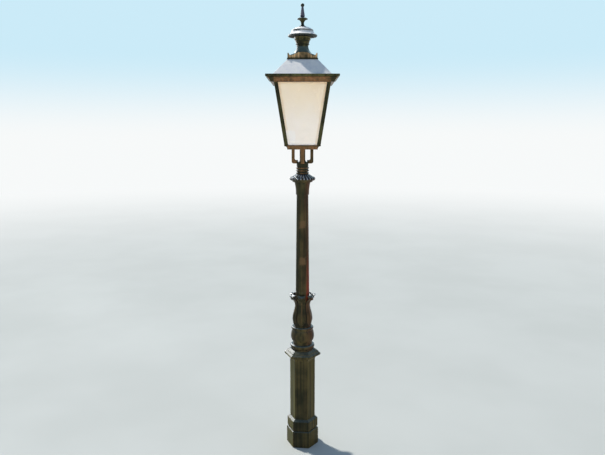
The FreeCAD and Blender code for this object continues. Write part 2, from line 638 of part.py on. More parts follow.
def make_capital():
    """The bell-shaped collar on the head of the shaft, with petals cut down its sloping crown."""
    body = body_of("capital")
    bore = "head_spigot + fit_clearance"
    turn_profile(body, [
        (bore, "capital_level"),
        ("capital_foot", "capital_level", (0.21, 0.55)),
        ("bell_mouth", "bell_level"),
        ("collar_radius - casting_edge", "bell_level"),
        ("collar_radius", "bell_level + casting_edge"),
        ("collar_radius", "gadroon_level"),
        ("gadroon_root", "gadroon_level", ("gadroon_radius", "gadroon_mid")),
        ("gadroon_root", "gadroon_level + gadroon_height"),
        ("capital_top", "cradle_level"),
        (bore, "cradle_level"),
    ])
    stand_off = "(gadroon_cut - gadroon_depth) / petal_length"
    reach = "gadroon_cut / petal_length"
    inner = (f"capital_top + petal_drop * {stand_off}", f"cradle_level + petal_run * {stand_off}")
    outer = (f"gadroon_radius + petal_drop * {stand_off} + petal_run * {reach}",
             f"gadroon_mid + petal_run * {stand_off} - petal_drop * {reach}")
    petal = round_channel(body, "petal", [
        inner,
        (f"{inner[0]} - petal_drop * {reach}", f"{inner[1]} - petal_run * {reach}"),
        (f"{outer[0]} - petal_drop * {reach}", f"{outer[1]} - petal_run * {reach}"),
        outer,
    ])
    around(body, petal, "gadroon_count")
    keep(body, "capital")


def make_cradle():
    """The ringed socket with four bent arms that carry the lantern."""
    body = body_of("lantern_cradle")
    bore = "head_spigot + fit_clearance"
    tail_bore = "tube_tail + fit_clearance"
    beads = []
    for index in range(int(SIZES["bead_count"])):
        low = f"cradle_level + {index} * bead_pitch + (bead_pitch - bead_height) / 2"
        beads.append(("bead_root", low, ("bead_radius", f"{low} + bead_height / 2")))
        beads.append(("bead_root", f"{low} + bead_height"))
    turn_profile(body, [
        (bore, "cradle_level"),
        ("bead_root", "cradle_level"),
        *beads,
        ("bead_root", "hub_level"),
        ("hub_radius", "hub_level"),
        ("hub_radius", "hub_top - hub_bevel"),
        ("hub_radius - hub_bevel", "hub_top"),
        (tail_bore, "hub_top"),
        (tail_bore, "hub_top - hub_cap"),
        (bore, "hub_top - hub_cap"),
    ])
    inner = "arm_reach - arm_depth"
    foot_top = "arm_level + arm_foot"
    bevel_root = "hub_radius - hub_bevel - arm_root"
    arm_sketch = draw(sketch_on(body, "XZ_Plane", "arm"), [
        ("hub_radius - arm_root", "arm_level"),
        ("arm_reach - arm_outer_bend", "arm_level", LEAVE_ACROSS),
        ("arm_reach", "arm_level + arm_outer_bend"),
        ("arm_reach", "base_level"),
        (inner, "base_level"),
        (inner, f"{foot_top} + arm_inner_bend", LEAVE_UPRIGHT),
        (f"{inner} - arm_inner_bend", foot_top),
        (bevel_root, foot_top),
        (bevel_root, "hub_top - hub_bevel"),
        ("hub_radius - arm_root", "hub_top - hub_bevel"),
    ])
    arm = extruded(body, "Pad", arm_sketch, "arm_width")
    arm.Midplane = True
    around(body, arm, "arm_count")
    bolt_hole = sketch_on(body, "XY_Plane", "bolt_hole", "base_level")
    circle(bolt_hole, "bolt_circle", "0", "cradle_bolt_radius + screw_clearance")
    bolt_depth = "cradle_bolt_length - base_floor + cradle_bolt_gap"
    around(body, extruded(body, "Pocket", bolt_hole, bolt_depth), "arm_count")
    grub_hole = sketch_on(body, "XZ_Plane", "grub_hole", "-head_spigot")
    circle(grub_hole, "0", "cradle_level + bead_pitch", "set_screw_radius + screw_clearance")
    around(body, extruded(body, "Pocket", grub_hole, "bead_radius"), "set_screw_count")
    keep(body, "lantern_cradle")


def make_cradle_fixings():
    """Set screws that grip the spigot, and bolts that hold the lantern base on the arms."""
    length = "bead_root - head_spigot + set_screw_proud"
    grubs = []
    for index, turn in enumerate(turns("set_screw_count", "set_screw_start")):
        grub = rod(f"grub{index}", "set_screw_radius", length, f"head_spigot * cos({turn})",
                   f"head_spigot * sin({turn})", "cradle_level + bead_pitch")
        outward = vector(f"cos({turn})", f"sin({turn})")
        lean = FreeCAD.Rotation(FreeCAD.Vector(0, 0, 1), outward)
        grub.Placement = FreeCAD.Placement(grub.Placement.Base, lean)
        grubs.append(grub)
    group("cradle_set_screws", grubs)
    bolts = [screw(f"cradle_bolt{index}", "cradle_bolt_head", "cradle_bolt_head_height",
                   "cradle_bolt_radius", "cradle_bolt_length", f"bolt_circle * cos({turn})",
                   f"bolt_circle * sin({turn})", "base_level + base_floor")
             for index, turn in enumerate(turns("arm_count"))]
    group("cradle_bolts", bolts)


def make_supply_tube():
    """The central stem that brings the wiring up, and the nut that clamps it."""
    turned_part("supply_tube", [
        ("tube_bore", "hub_top - tube_tail_length"),
        ("tube_tail", "hub_top - tube_tail_length"),
        ("tube_tail", "hub_top"),
        ("tube_flare", "hub_top", (0.75, 0.4)),
        ("tube_radius", "hub_top + tube_flare_height"),
        ("tube_radius", "base_level"),
        ("tube_thread", "base_level"),
        ("tube_thread", "holder_level + tube_grip"),
        ("tube_bore", "holder_level + tube_grip"),
    ])
    blank = mitred("locknut_blank", 6, [
        ("locknut_flats", "base_level + base_floor"),
        ("locknut_flats", "base_level + base_floor + locknut_height"),
    ], "locknut_flats")
    bore = rod("locknut_bore", "tube_thread + fit_clearance", "base_floor + locknut_height + cut_overrun",
               z="base_level")
    keep(cut("supply_locknut", blank, bore), "supply_locknut")


def make_light():
    """The lampholder on the stem, and the bulb in it."""
    bore = "tube_thread + fit_clearance"
    socket = "holder_radius - holder_wall"
    mouth = "holder_level + holder_height"
    turned_part("lampholder", [
        (bore, "holder_level"),
        ("holder_radius - holder_edge", "holder_level"),
        ("holder_radius", "holder_level + holder_edge"),
        ("holder_radius", f"{mouth} - holder_edge"),
        ("holder_radius - casting_edge", mouth),
        (socket, mouth),
        (socket, "holder_level + holder_floor"),
        (bore, "holder_level + holder_floor"),
    ])
    cap_top = "bulb_level + bulb_cap_height"
    globe = "bulb_level + bulb_height"
    crown = f"{globe} + sqrt(bulb_radius ^ 2 - bulb_flat ^ 2)"
    turned_part("bulb", [
        ("0", "bulb_level"),
        ("bulb_cap_radius", "bulb_level"),
        ("bulb_cap_radius", cap_top),
        ("bulb_neck_radius", f"{cap_top} + bulb_neck_rise"),
        ("bulb_radius", globe, ("bulb_radius * cos(45 deg)", f"{globe} + bulb_radius * cos(45 deg)")),
        ("bulb_flat", crown),
        ("0", crown),
    ])


def make_lantern_base():
    """The square moulded pan under the panes."""
    outside = mitred("base_outside", 4, [
        ("base_foot_half", "base_level"),
        ("base_foot_half", "base_level + casting_edge", (0.2, 0.64)),
        ("base_rim_half", "base_level + base_cavetto"),
        ("base_rim_half", "rim_level"),
    ], "base_rim_half")
    well_half = "base_rim_half - base_ledge"
    well = mitred("base_well", 4, [
        (f"{well_half} - base_well_taper", "base_level + base_floor"),
        (well_half, "rim_level - base_ledge_height"),
        (well_half, "rim_level + cut_overrun"),
    ], "base_rim_half")
    through = "base_floor + 2 * cut_overrun"
    holes = [rod("base_tube_hole", "tube_thread + fit_clearance", through, z="base_level - cut_overrun")]
    for index, turn in enumerate(turns("arm_count")):
        holes.append(rod(f"base_bolt_hole{index}", "cradle_bolt_radius + screw_clearance", through,
                         f"bolt_circle * cos({turn})", f"bolt_circle * sin({turn})",
                         "base_level - cut_overrun"))
    keep(cut("lantern_base", outside, well, *holes), "lantern_base")


def make_corner_post(label, side, front):
    """One leaning angle bar; side and front are the signs of its corner."""
    body = body_of(label)
    steps = (("0", "0"), ("post_width", "0"), ("post_width", "post_thickness"),
             ("post_thickness", "post_thickness"), ("post_thickness", "post_width"), ("0", "post_width"))
    sections = []
    for name, level, half in (("foot", "rim_level", "lantern_low_half"),
                              ("head", "eave_level", "lantern_high_half")):
        outline = [(f"{side} * ({half} - {across})", f"{front} * ({half} - {deep})")
                   for across, deep in steps]
        sections.append(draw(sketch_on(body, "XY_Plane", name, level), outline))
    lofted(body, sections, ruled=True)
    keep(body, label)


def make_pane(label, quarter_turn):
    """One leaning opal pane, drawn at the front and turned to its side."""
    body = body_of(label)
    lean = "pane_clearance * (lantern_high_half - lantern_low_half) / lantern_height"
    sections = []
    for name, level, half in (("low_edge", "rim_level + pane_clearance", f"lantern_low_half + {lean}"),
                              ("high_edge", "eave_level - pane_clearance", f"lantern_high_half - {lean}")):
        face = f"{half} - post_thickness - pane_clearance"
        back = f"{face} - pane_thickness"
        reach = f"{back} - pane_corner_gap"
        sections.append(draw(sketch_on(body, "XY_Plane", name, level), [
            (f"-({reach})", f"-({face})"),
            (reach, f"-({face})"),
            (reach, f"-({back})"),
            (f"-({reach})", f"-({back})"),
        ]))
    lofted(body, sections, ruled=True)
    keep(yawed(body, f"{quarter_turn} * 90"), label)


def hinge_screw_spots(middle):
    return (f"{middle} - hinge_screw_spread", f"{middle} + hinge_screw_spread")


def make_eave_frame():
    """The flared cornice on the posts, with rebates and holes for the fixed hinge leaves."""
    cove_low = "eave_level + eave_fillet"
    outside = mitred("eave_outside", 4, [
        ("eave_foot_half", "eave_level"),
        ("eave_foot_half", cove_low, (0.42, 0.58)),
        ("eave_half", "eave_top - eave_edge"),
        ("eave_half", "eave_top"),
    ], "eave_half")
    mouth_half = "lantern_high_half - post_width"
    wall_half = "eave_foot_half - eave_wall"
    hollow = mitred("eave_hollow", 4, [
        (mouth_half, "eave_level - cut_overrun"),
        (mouth_half, cove_low),
        (wall_half, cove_low),
        (wall_half, "eave_top + cut_overrun"),
    ], "eave_half")
    tools = [hollow]
    for name, middle in HINGE_PLACES:
        tools.append(box(f"leaf_rebate_{name}", "hinge_width + 2 * leaf_recess_gap",
                         "fixed_leaf_depth + leaf_recess_gap + cut_overrun", "leaf_plate + cut_overrun",
                         f"{middle} - hinge_width / 2 - leaf_recess_gap",
                         "fixed_leaf_start - leaf_recess_gap", "eave_top - leaf_plate"))
        for index, spot in enumerate(hinge_screw_spots(middle)):
            tools.append(rod(f"eave_screw_hole_{name}{index}", "hinge_screw_radius + screw_clearance",
                             "eave_edge + cut_overrun", spot, "fixed_screw_line",
                             "eave_top - eave_edge - screw_clearance"))
    keep(cut("eave_frame", outside, *tools), "eave_frame")


def make_canopy_lip():
    """The rim frame of the canopy, which lies on the cornice and carries the roof."""
    outside = mitred("lip_outside", 4, [
        ("lip_foot_half", "lip_level", (0.77, 0.45)),
        ("lip_half", "lip_level + lip_round"),
        ("lip_half", "roof_level - lip_edge"),
        ("lip_half - lip_edge", "roof_level"),
    ], "lip_half")
    hollow = mitred("lip_hollow", 4, [
        ("lip_foot_half - lip_flange", "lip_level - cut_overrun"),
        ("lip_foot_half - lip_flange", "lip_level + lip_web"),
        ("lip_half - lip_sheet", "lip_level + lip_web"),
        ("lip_half - lip_sheet", "roof_level - lip_web"),
        ("roof_half - roof_lap", "roof_level - lip_web"),
        ("roof_half - roof_lap", "roof_level + cut_overrun"),
    ], "lip_half")
    tools = [hollow]
    for name, middle in HINGE_PLACES:
        for index, spot in enumerate(hinge_screw_spots(middle)):
            tools.append(rod(f"lip_screw_hole_{name}{index}", "hinge_screw_radius + screw_clearance",
                             "lip_sheet + 2 * cut_overrun", spot, "lip_half - lip_sheet - cut_overrun",
                             "moving_screw_level", *TO_REAR))
    keep(cut("canopy_lip", outside, *tools), "canopy_lip")


def make_roof():
    """The hipped sheet roof with a flat top plate round the flue."""
    outside = mitred("roof_outside", 4, [
        ("roof_half", "roof_level"),
        ("roof_half", "roof_level + roof_foot"),
        ("roof_top_half + roof_edge", "gallery_level - roof_edge"),
        ("roof_top_half", "gallery_level"),
    ], "roof_half")
    hollow = mitred("roof_hollow", 4, [
        ("roof_half - roof_sheet", "roof_level - cut_overrun"),
        ("roof_half - roof_sheet", "roof_level + roof_foot - roof_edge"),
        ("roof_top_half + roof_edge - roof_sheet", "gallery_level - roof_sheet"),
    ], "roof_half")
    flue = rod("roof_flue", "flue_radius", "roof_sheet + 2 * cut_overrun",
               z="gallery_level - roof_sheet - cut_overrun")
    keep(cut("roof", outside, hollow, flue), "roof")


def make_gallery():
    """The scalloped crown: four walls with raised corners and a crest, on a beaded foot."""
    body = body_of("gallery")
    inner = "gallery_half - gallery_wall"
    tip_level = "gallery_level + gallery_tip"
    crest_level = "gallery_level + gallery_crest"
    scallop = draw(sketch_on(body, "XZ_Plane", "scallop", inner), mirrored([
        ("gallery_half", "gallery_level"),
        ("gallery_half", tip_level),
        ("gallery_half - gallery_tip_width", tip_level, (0.38, 0.75)),
        ("gallery_dip_reach", "gallery_level + gallery_dip", (0.55, 0.36)),
        ("gallery_shoulder_reach", "gallery_level + gallery_shoulder", ("0", crest_level)),
    ]))
    around(body, extruded(body, "Pad", scallop, "gallery_wall"), "gallery_sides")
    foot = sketch_on(body, "XY_Plane", "foot", "gallery_level")
    for name, half in (("outer", "gallery_half + gallery_bead"), ("inner", inner)):
        corners = [(half, half), (f"-({half})", half), (f"-({half})", f"-({half})"), (half, f"-({half})")]
        draw(foot, corners, name)
    extruded(body, "Pad", foot, "gallery_bead_height")
    keep(body, "gallery")


def bowl_radius(level):
    """Outer radius of the chimney's bowl at a level, as a formula."""
    share = f"(({level}) - chimney_waist_level) / bowl_height"
    return f"chimney_waist + (chimney_mouth - chimney_waist) * {share}"


def make_chimney():
    """The flue: a bell-mouthed skirt up to a waist, a bowl with two rings, and a bridge bar for the stud."""
    body = body_of("chimney")
    flange_top = "gallery_level + chimney_flange_height"
    rings = []
    for step in (0, 1):
        low = f"chimney_waist_level + bowl_ring_rise + {step} * bowl_ring_pitch"
        middle = f"{low} + bowl_ring_height / 2"
        high = f"{low} + bowl_ring_height"
        rings.append((bowl_radius(low), low, (f"{bowl_radius(middle)} + bowl_ring", middle)))
        rings.append((bowl_radius(high), high))
    turn_profile(body, [
        ("skirt_radius + chimney_flange", "gallery_level"),
        ("skirt_radius + chimney_flange", flange_top),
        ("skirt_radius", flange_top),
        ("skirt_radius", "skirt_level", (0.72, 0.4)),
        ("chimney_waist", "chimney_waist_level"),
        *rings,
        ("chimney_mouth", "chimney_top"),
        ("chimney_mouth - chimney_sheet", "chimney_top"),
        ("chimney_waist - chimney_sheet", "chimney_waist_level", (0.28, 0.6)),
        ("skirt_radius - chimney_sheet", "skirt_level - chimney_sheet"),
        ("skirt_radius - chimney_sheet", "gallery_level"),
    ])
    reach = f"{bowl_radius('bridge_top')} - bridge_seat"
    bar = draw(sketch_on(body, "XY_Plane", "bridge", "bridge_top - bridge_depth"), [
        (f"-({reach})", "-bridge_width / 2"),
        (reach, "-bridge_width / 2"),
        (reach, "bridge_width / 2"),
        (f"-({reach})", "bridge_width / 2"),
    ])
    circle(bar, "0", "0", "stud_radius + fit_clearance")
    extruded(body, "Pad", bar, "bridge_depth")
    keep(body, "chimney")


def make_cap():
    """The spun cap over the chimney, and the spacer that holds it up."""
    bore = "stud_radius + fit_clearance"
    under_dome = "finial_level - cap_sheet"
    rim_top = "brim_level + brim_edge"
    turned_part("cap_spacer", [
        (bore, "bridge_top"),
        ("spacer_radius", "bridge_top"),
        ("spacer_radius", under_dome),
        (bore, under_dome),
    ])
    turned_part("chimney_cap", [
        ("brim_radius - casting_edge", "brim_level"),
        ("brim_radius", "brim_level + casting_edge"),
        ("brim_radius", rim_top, (0.62, 0.42)),
        ("tier_radius", "tier_level"),
        ("drum_radius", "drum_level", (0.38, 0.6)),
        ("dome_top_radius", "finial_level"),
        (bore, "finial_level"),
        (bore, under_dome),
        ("dome_top_radius", under_dome, (0.62, 0.4)),
        ("drum_radius - cap_sheet", "drum_level - cap_sheet"),
        ("tier_radius - cap_sheet", "tier_level - cap_sheet", (0.38, 0.58)),
        ("brim_radius - cap_sheet", f"{rim_top} - cap_sheet"),
        ("brim_radius - cap_sheet - casting_edge", "brim_level"),
    ])


def make_finial():
    """The turned finial, and the stud that draws it down on the cap."""
    stud_foot = "bridge_top - bridge_depth - stud_tail"
    stud_top = "finial_level + stud_grip"
    turned_part("finial_stud", [
        ("0", stud_foot),
        ("stud_head", stud_foot),
        ("stud_head", "bridge_top - bridge_depth"),
        ("stud_radius", "bridge_top - bridge_depth"),
        ("stud_radius", stud_top),
        ("0", stud_top),
    ])
    socket = "stud_radius + fit_clearance"
    turned_part("finial", [
        (socket, "finial_level"),
        ("finial_foot", "finial_level"),
        ("finial_foot", "finial_level + finial_foot_edge", (0.75, 0.4)),
        ("finial_neck", "neck_top", (0.35, 0.72)),
        ("disc_radius", "disc_level"),
        ("disc_radius", "disc_level + disc_rim"),
        ("disc_radius - disc_bevel", "disc_level + disc_edge"),
        ("spike_root", "disc_level + disc_edge + disc_dish"),
        ("spike_foot", "spike_level"),
        ("spike_top", "spike_level + spike_rise", ("ball_radius", "ball_level")),
        ("ball_flat", "ball_top"),
        ("0", "ball_top"),
        ("0", f"{stud_top} + stud_end_gap"),
        (socket, f"{stud_top} + stud_end_gap"),
    ])


def hinge_rod(name, radius, length, start):
    """A rod on the hinge axis, which runs to the right from its start."""
    return rod(name, radius, length, start, "hinge_axis_y", "hinge_axis_z", *TO_RIGHT)


def make_hinge(name, middle):
    """One hinge of the canopy: a flat leaf let into the cornice, an upright leaf on the lip, and a pin."""
    left = f"{middle} - hinge_width / 2"
    right_knuckle = f"{middle} + centre_knuckle / 2 + knuckle_gap"
    end_width = "(hinge_width - centre_knuckle) / 2 - knuckle_gap"
    room = "knuckle_radius + knuckle_gap"
    bore = ("pin_radius + pin_clearance", "hinge_width + 2 * cut_overrun", f"{left} - cut_overrun")
    screw_hole = "hinge_screw_radius + screw_clearance"
    through_leaf = "leaf_plate + 2 * cut_overrun"

    plate = box(f"fixed_plate_{name}", "hinge_width", "hinge_axis_y - fixed_leaf_start", "leaf_plate",
                left, "fixed_leaf_start", "eave_top - leaf_plate")
    centre_room = hinge_rod(f"centre_room_{name}", room, "centre_knuckle + 2 * knuckle_gap",
                            f"{middle} - centre_knuckle / 2 - knuckle_gap")
    knuckles = [hinge_rod(f"fixed_knuckle_{name}{index}", "knuckle_radius", end_width, start)
                for index, start in enumerate((left, right_knuckle))]
    sinks = [hinge_rod(f"fixed_bore_{name}", *bore)]
    for index, spot in enumerate(hinge_screw_spots(middle)):
        sinks.append(countersink(f"fixed_sink_{name}{index}", spot, "screw_clearance"))
        sinks.append(rod(f"fixed_hole_{name}{index}", screw_hole, through_leaf, spot, "fixed_screw_line",
                         "eave_top - leaf_plate - cut_overrun"))
    blank = join(f"fixed_joined_{name}", cut(f"fixed_blank_{name}", plate, centre_room), *knuckles)
    keep(cut(f"fixed_leaf_{name}", blank, *sinks), f"hinge_fixed_leaf_{name}")

    upright = box(f"moving_plate_{name}", "hinge_width", "leaf_plate", "moving_leaf_height",
                  left, "lip_half", "hinge_axis_z")
    end_rooms = [hinge_rod(f"end_room_{name}{index}", room, f"{end_width} + knuckle_gap", start)
                 for index, start in enumerate((f"{left} - knuckle_gap", right_knuckle))]
    knuckle = hinge_rod(f"moving_knuckle_{name}", "knuckle_radius", "centre_knuckle",
                        f"{middle} - centre_knuckle / 2")
    holes = [hinge_rod(f"moving_bore_{name}", *bore)]
    for index, spot in enumerate(hinge_screw_spots(middle)):
        holes.append(rod(f"moving_hole_{name}{index}", screw_hole, through_leaf, spot,
                         "lip_half - cut_overrun", "moving_screw_level", *TO_REAR))
    blank = join(f"moving_joined_{name}", cut(f"moving_blank_{name}", upright, *end_rooms), knuckle)
    keep(cut(f"moving_leaf_{name}", blank, *holes), f"hinge_moving_leaf_{name}")

    shank = hinge_rod(f"pin_shank_{name}", "pin_radius", "hinge_width", left)
    heads = [hinge_rod(f"pin_head_{name}{index}", "pin_head", "pin_head_height", start)
             for index, start in enumerate((f"{left} - pin_head_height", f"{middle} + hinge_width / 2"))]
    keep(join(f"pin_{name}", shank, *heads), f"hinge_pin_{name}")


def countersink(name, spot, clearance):
    """The cone of a flush screw head whose top lies in the upper face of the fixed leaf."""
    cone = bind(doc.addObject("Part::Cone", name), {
        "Radius1": f"hinge_screw_radius + {clearance}",
        "Radius2": f"hinge_screw_head + {clearance}",
        "Height": "hinge_screw_head_height",
    })
    return place(cone, spot, "fixed_screw_line", "eave_top - hinge_screw_head_height")


def make_hinge_screws():
    """Flush screws in the fixed leaves and round-headed ones in the moving leaves."""
    fixed = []
    moving = []
    for name, middle in HINGE_PLACES:
        for index, spot in enumerate(hinge_screw_spots(middle)):
            head = countersink(f"fixed_screw_head_{name}{index}", spot, "0")
            shank = rod(f"fixed_screw_shank_{name}{index}", "hinge_screw_radius", "fixed_screw_length", spot,
                        "fixed_screw_line", "eave_top - hinge_screw_head_height - fixed_screw_length")
            fixed.append(join(f"fixed_screw_{name}{index}", head, shank))
            moving.append(screw(f"moving_screw_{name}{index}", "hinge_screw_head", "hinge_screw_head_height",
                                "hinge_screw_radius", "moving_screw_length", spot, "lip_half + leaf_plate",
                                "moving_screw_level", *TO_REAR))
    group("hinge_fixed_screws", fixed)
    group("hinge_moving_screws", moving)


make_pedestal()
make_service_door()
make_wiring_point()
make_baluster()
make_shaft()
make_capital()
make_cradle()
make_cradle_fixings()
make_supply_tube()
make_light()
make_lantern_base()
for label, side, front in (("corner_post_front_left", -1, -1), ("corner_post_front_right", 1, -1),
                           ("corner_post_rear_left", -1, 1), ("corner_post_rear_right", 1, 1)):
    make_corner_post(label, side, front)
for quarter_turn, label in enumerate(("pane_front", "pane_right", "pane_rear", "pane_left")):
    make_pane(label, quarter_turn)
make_eave_frame()
make_canopy_lip()
make_roof()
make_gallery()
make_chimney()
make_cap()
make_finial()
for name, middle in HINGE_PLACES:
    make_hinge(name, middle)
make_hinge_screws()

sheet.clear(SCRATCH_CELL)
doc.recompute()
for item in doc.Objects:
    if "Invalid" in item.State or "Error" in item.State:
        raise RuntimeError(f"{item.Label} did not build: {item.State}")
for item in subparts:
    if item.Shape.isNull() or not item.Shape.isValid():
        raise RuntimeError(f"{item.Label} has no valid shape")

os.makedirs("parts", exist_ok=True)
for item in subparts:
    item.Shape.exportStep(f"parts/{item.Label}.step")
    print(f"{item.Label}: {len(item.Shape.Solids)} solid(s), {item.Shape.Volume / 1000:.1f} cm3")
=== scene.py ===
# %% [markdown]
# # A garden lamp, dressed
# The lamp comes in as a finished metal frame: pedestal, baluster, shaft, cradle and lantern, each piece its
# own object in metres, standing on the floor at z = 0. This lesson leaves those pieces where they are and
# gives each of them the finish that years outdoors have left on it. A few small pieces, too fine for the
# frame, are modelled here: slotted screws take the place of plain blanks, and rolled tips go on the leaves
# of the baluster. Then a plain studio is set up round the lamp.

# %% Load the frame
import math
import bpy
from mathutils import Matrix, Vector


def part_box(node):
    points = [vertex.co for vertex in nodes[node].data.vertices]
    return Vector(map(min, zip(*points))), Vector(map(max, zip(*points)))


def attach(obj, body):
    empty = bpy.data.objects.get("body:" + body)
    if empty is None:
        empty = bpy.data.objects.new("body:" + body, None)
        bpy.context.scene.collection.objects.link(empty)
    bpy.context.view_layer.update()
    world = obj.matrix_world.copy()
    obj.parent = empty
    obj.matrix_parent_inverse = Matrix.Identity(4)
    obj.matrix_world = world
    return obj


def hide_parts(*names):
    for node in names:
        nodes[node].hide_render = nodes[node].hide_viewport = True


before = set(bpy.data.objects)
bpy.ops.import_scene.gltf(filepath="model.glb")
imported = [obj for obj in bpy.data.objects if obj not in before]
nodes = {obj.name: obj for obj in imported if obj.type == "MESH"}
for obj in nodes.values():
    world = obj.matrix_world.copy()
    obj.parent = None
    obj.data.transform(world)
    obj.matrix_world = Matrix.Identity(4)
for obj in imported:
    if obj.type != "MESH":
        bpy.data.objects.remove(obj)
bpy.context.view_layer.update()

bpy.ops.object.select_all(action="DESELECT")

# %% [markdown]
# ## Sums between sockets
# A worn finish is mostly arithmetic: a patch here, less of it there, more near the ground. Drawing that as
# boxes and wires is slow to read, so one small class stands for an output socket. Python's own signs then
# add the Math nodes, and a single method adds every other kind of node.

# %% The wire class
class Wire:
    """An output socket in a node tree, ready to take part in sums."""

    def __init__(self, tree, socket=None):
        self.tree = tree
        self.socket = socket

    def feed(self, target, value):
        """Links a wire to an input, or sets the input to a plain value."""
        if isinstance(value, Wire):
            self.tree.links.new(value.socket, target)
        else:
            target.default_value = value

    def node(self, kind, settings, inputs, output=0):
        """Adds a node: its settings first, then the values or wires of its sockets."""
        made = self.tree.nodes.new(kind)
        for name, value in settings.items():
            setattr(made, name, value)
        for name, value in inputs.items():
            self.feed(made.inputs[name], value)
        return Wire(self.tree, made.outputs[output])

    def maths(self, operation, first, second):
        """One Math node on two values or wires."""
        return self.node("ShaderNodeMath", {"operation": operation}, {0: first, 1: second})

    def __add__(self, other):
        return self.maths("ADD", self, other)

    def __sub__(self, other):
        return self.maths("SUBTRACT", self, other)

    def __rsub__(self, other):
        return self.maths("SUBTRACT", other, self)

    def __mul__(self, other):
        return self.maths("MULTIPLY", self, other)

    def __neg__(self):
        return self.maths("MULTIPLY", self, -1.0)

    def __abs__(self):
        return self.maths("ABSOLUTE", self, 0.0)

    __radd__ = __add__
    __rmul__ = __mul__

    def rise(self, low, high, bottom=0.0, top=1.0):
        """Goes smoothly from bottom to top while this value goes from low to high."""
        settings = {"interpolation_type": "SMOOTHSTEP"}
        span = {"Value": self, "From Min": low, "From Max": high, "To Min": bottom, "To Max": top}
        return self.node("ShaderNodeMapRange", settings, span)

    def between(self, low, high, soft):
        """One while this value is between two limits, with soft borders."""
        return self.rise(low - soft, low + soft) - self.rise(high - soft, high + soft)

    def blend(self, without, with_it):
        """Mixes two colours, with this value as the share of the second."""
        settings = {"data_type": "RGBA", "clamp_factor": True}
        return self.node("ShaderNodeMix", settings, {0: self, 6: without, 7: with_it}, output=2)

    def stretched(self, scale):
        """These coordinates, scaled along each axis."""
        return self.node("ShaderNodeMapping", {"vector_type": "POINT"}, {"Vector": self, "Scale": scale})

    def noise(self, scale, detail=4.0, rough=0.55):
        """Cloudy noise from 0 to 1 on these coordinates, scale in cells per metre."""
        inputs = {"Vector": self, "Scale": scale, "Detail": detail, "Roughness": rough}
        return self.node("ShaderNodeTexNoise", {"normalize": True}, inputs)

    def part(self, axis):
        """One coordinate of a vector, by its letter."""
        return self.node("ShaderNodeSeparateXYZ", {}, {"Vector": self}, output="XYZ".index(axis))

    def bumped(self, height, strength, normal=None):
        """A surface normal that this value raises by a height in metres, on top of another normal."""
        inputs = {"Height": self, "Distance": height, "Strength": strength}
        if normal:
            inputs["Normal"] = normal
        return self.node("ShaderNodeBump", {}, inputs)


print("sums ready")

# %% [markdown]
# Every finish starts the same way: a new material, its Principled shader, and the two things that a pattern
# can hang on, the place on the piece and the way the surface faces there. Numbers that are the same all over
# the surface go straight into the shader's own sockets.

# %% Start a finish
def start_finish(name, **constants):
    """A new material, its shader and the place on the piece."""
    material = bpy.data.materials.new(name)
    material.use_nodes = True
    tree = material.node_tree
    shader = tree.nodes["Principled BSDF"]
    for socket, value in constants.items():
        shader.inputs[socket.replace("_", " ")].default_value = value
    place = Wire(tree).node("ShaderNodeTexCoord", {}, {}, output="Object")
    return material, shader, place


def facing_at(place):
    """The direction that the surface faces."""
    return place.node("ShaderNodeTexCoord", {}, {}, output="Normal")


def connect(shader, **wires):
    """Joins wires to the shader's sockets."""
    for socket, wire in wires.items():
        wire.feed(shader.inputs[socket.replace("_", " ")], wire)


def dress(material, *names):
    """Puts a finish on whole pieces."""
    for name in names:
        for slot in nodes[name].material_slots:
            slot.material = material
    print(material.name, "on", ", ".join(names))


print("finishes can start")

# %% [markdown]
# A casting has no knife edge: the mould leaves each arris a little round, and the paint wears thin there
# first. Beveling every edge would be one way. A Bevel node is lighter: it looks round the corner and gives
# back a rounded normal. Where that differs from the true one there is an arris, so it also tells where to
# wear.

# %% Arrises
ARRIS_RADIUS = 0.0025
ARRIS_SAMPLES = 6
ARRIS_TURN = (0.01, 0.16)


def arrises(place):
    """The surface normal with rounded arrises, and a mask of how near an arris is."""
    rounded = place.node("ShaderNodeBevel", {"samples": ARRIS_SAMPLES}, {"Radius": ARRIS_RADIUS})
    true = place.node("ShaderNodeNewGeometry", {}, {}, output="Normal")
    settings = {"operation": "DOT_PRODUCT"}
    agree = place.node("ShaderNodeVectorMath", settings, {0: rounded, 1: true}, output="Value")
    return rounded, (1.0 - agree).rise(*ARRIS_TURN)


print("arrises rounded by", ARRIS_RADIUS * 1000, "mm")

# %% [markdown]
# ## Casting paint
# The castings carry a dark bronze gloss that has clouded to olive and brown. Rain has drawn sooty streaks
# down it, and the arrises are rubbed to a lighter brown. On ledges a coat on the shader gives a clear
# wet-looking gloss. Under it, every surface that faces up turns blue-green, a painted reflection of the sky.
# Under it all one still feels the sand of the mould. That is one recipe with a few amounts. The two sides of
# a piece can have colours of their own, one for what is turned to the left and one for what is turned to the
# right, and marks that only one piece has go on top.

# %% Paint recipe
PAINT_DARK = (0.018, 0.020, 0.010, 1)
PAINT_OLIVE = (0.060, 0.056, 0.021, 1)
ARRIS_BROWN = (0.130, 0.075, 0.032, 1)
LEDGE_SKY_REFLECTION = (0.016, 0.034, 0.042, 1)
# Dark for the soot streaks, and for the painted shade in the leaf gaps.
SOOT_AND_SHADE_DARK = (0.010, 0.010, 0.006, 1)
CLOUD_SCALE, FINE_SCALE = 9.0, 60.0
CLOUD_SPAN, FINE_SPAN = (0.35, 0.68), (0.35, 0.6)
STREAK_STRETCH, STREAK_SPAN = (90.0, 90.0, 2.5), (0.42, 0.72)
GRIME_STRETCH, GRIME_SPAN = (70.0, 70.0, 1.6), (0.46, 0.64)
BROWN_SPAN, BROWN_LEAST = (0.25, 0.6), 0.6
SIDE_SPAN, SIDE_SHARE, SIDE_LEAST = (0.1, 0.8), 0.8, 0.5
LEDGE_SPAN, SKY_REFLECTION_SHARE, COAT_LEAST = (0.30, 0.75), 0.75, 0.45
PAINT_ROUGHNESS = 0.26
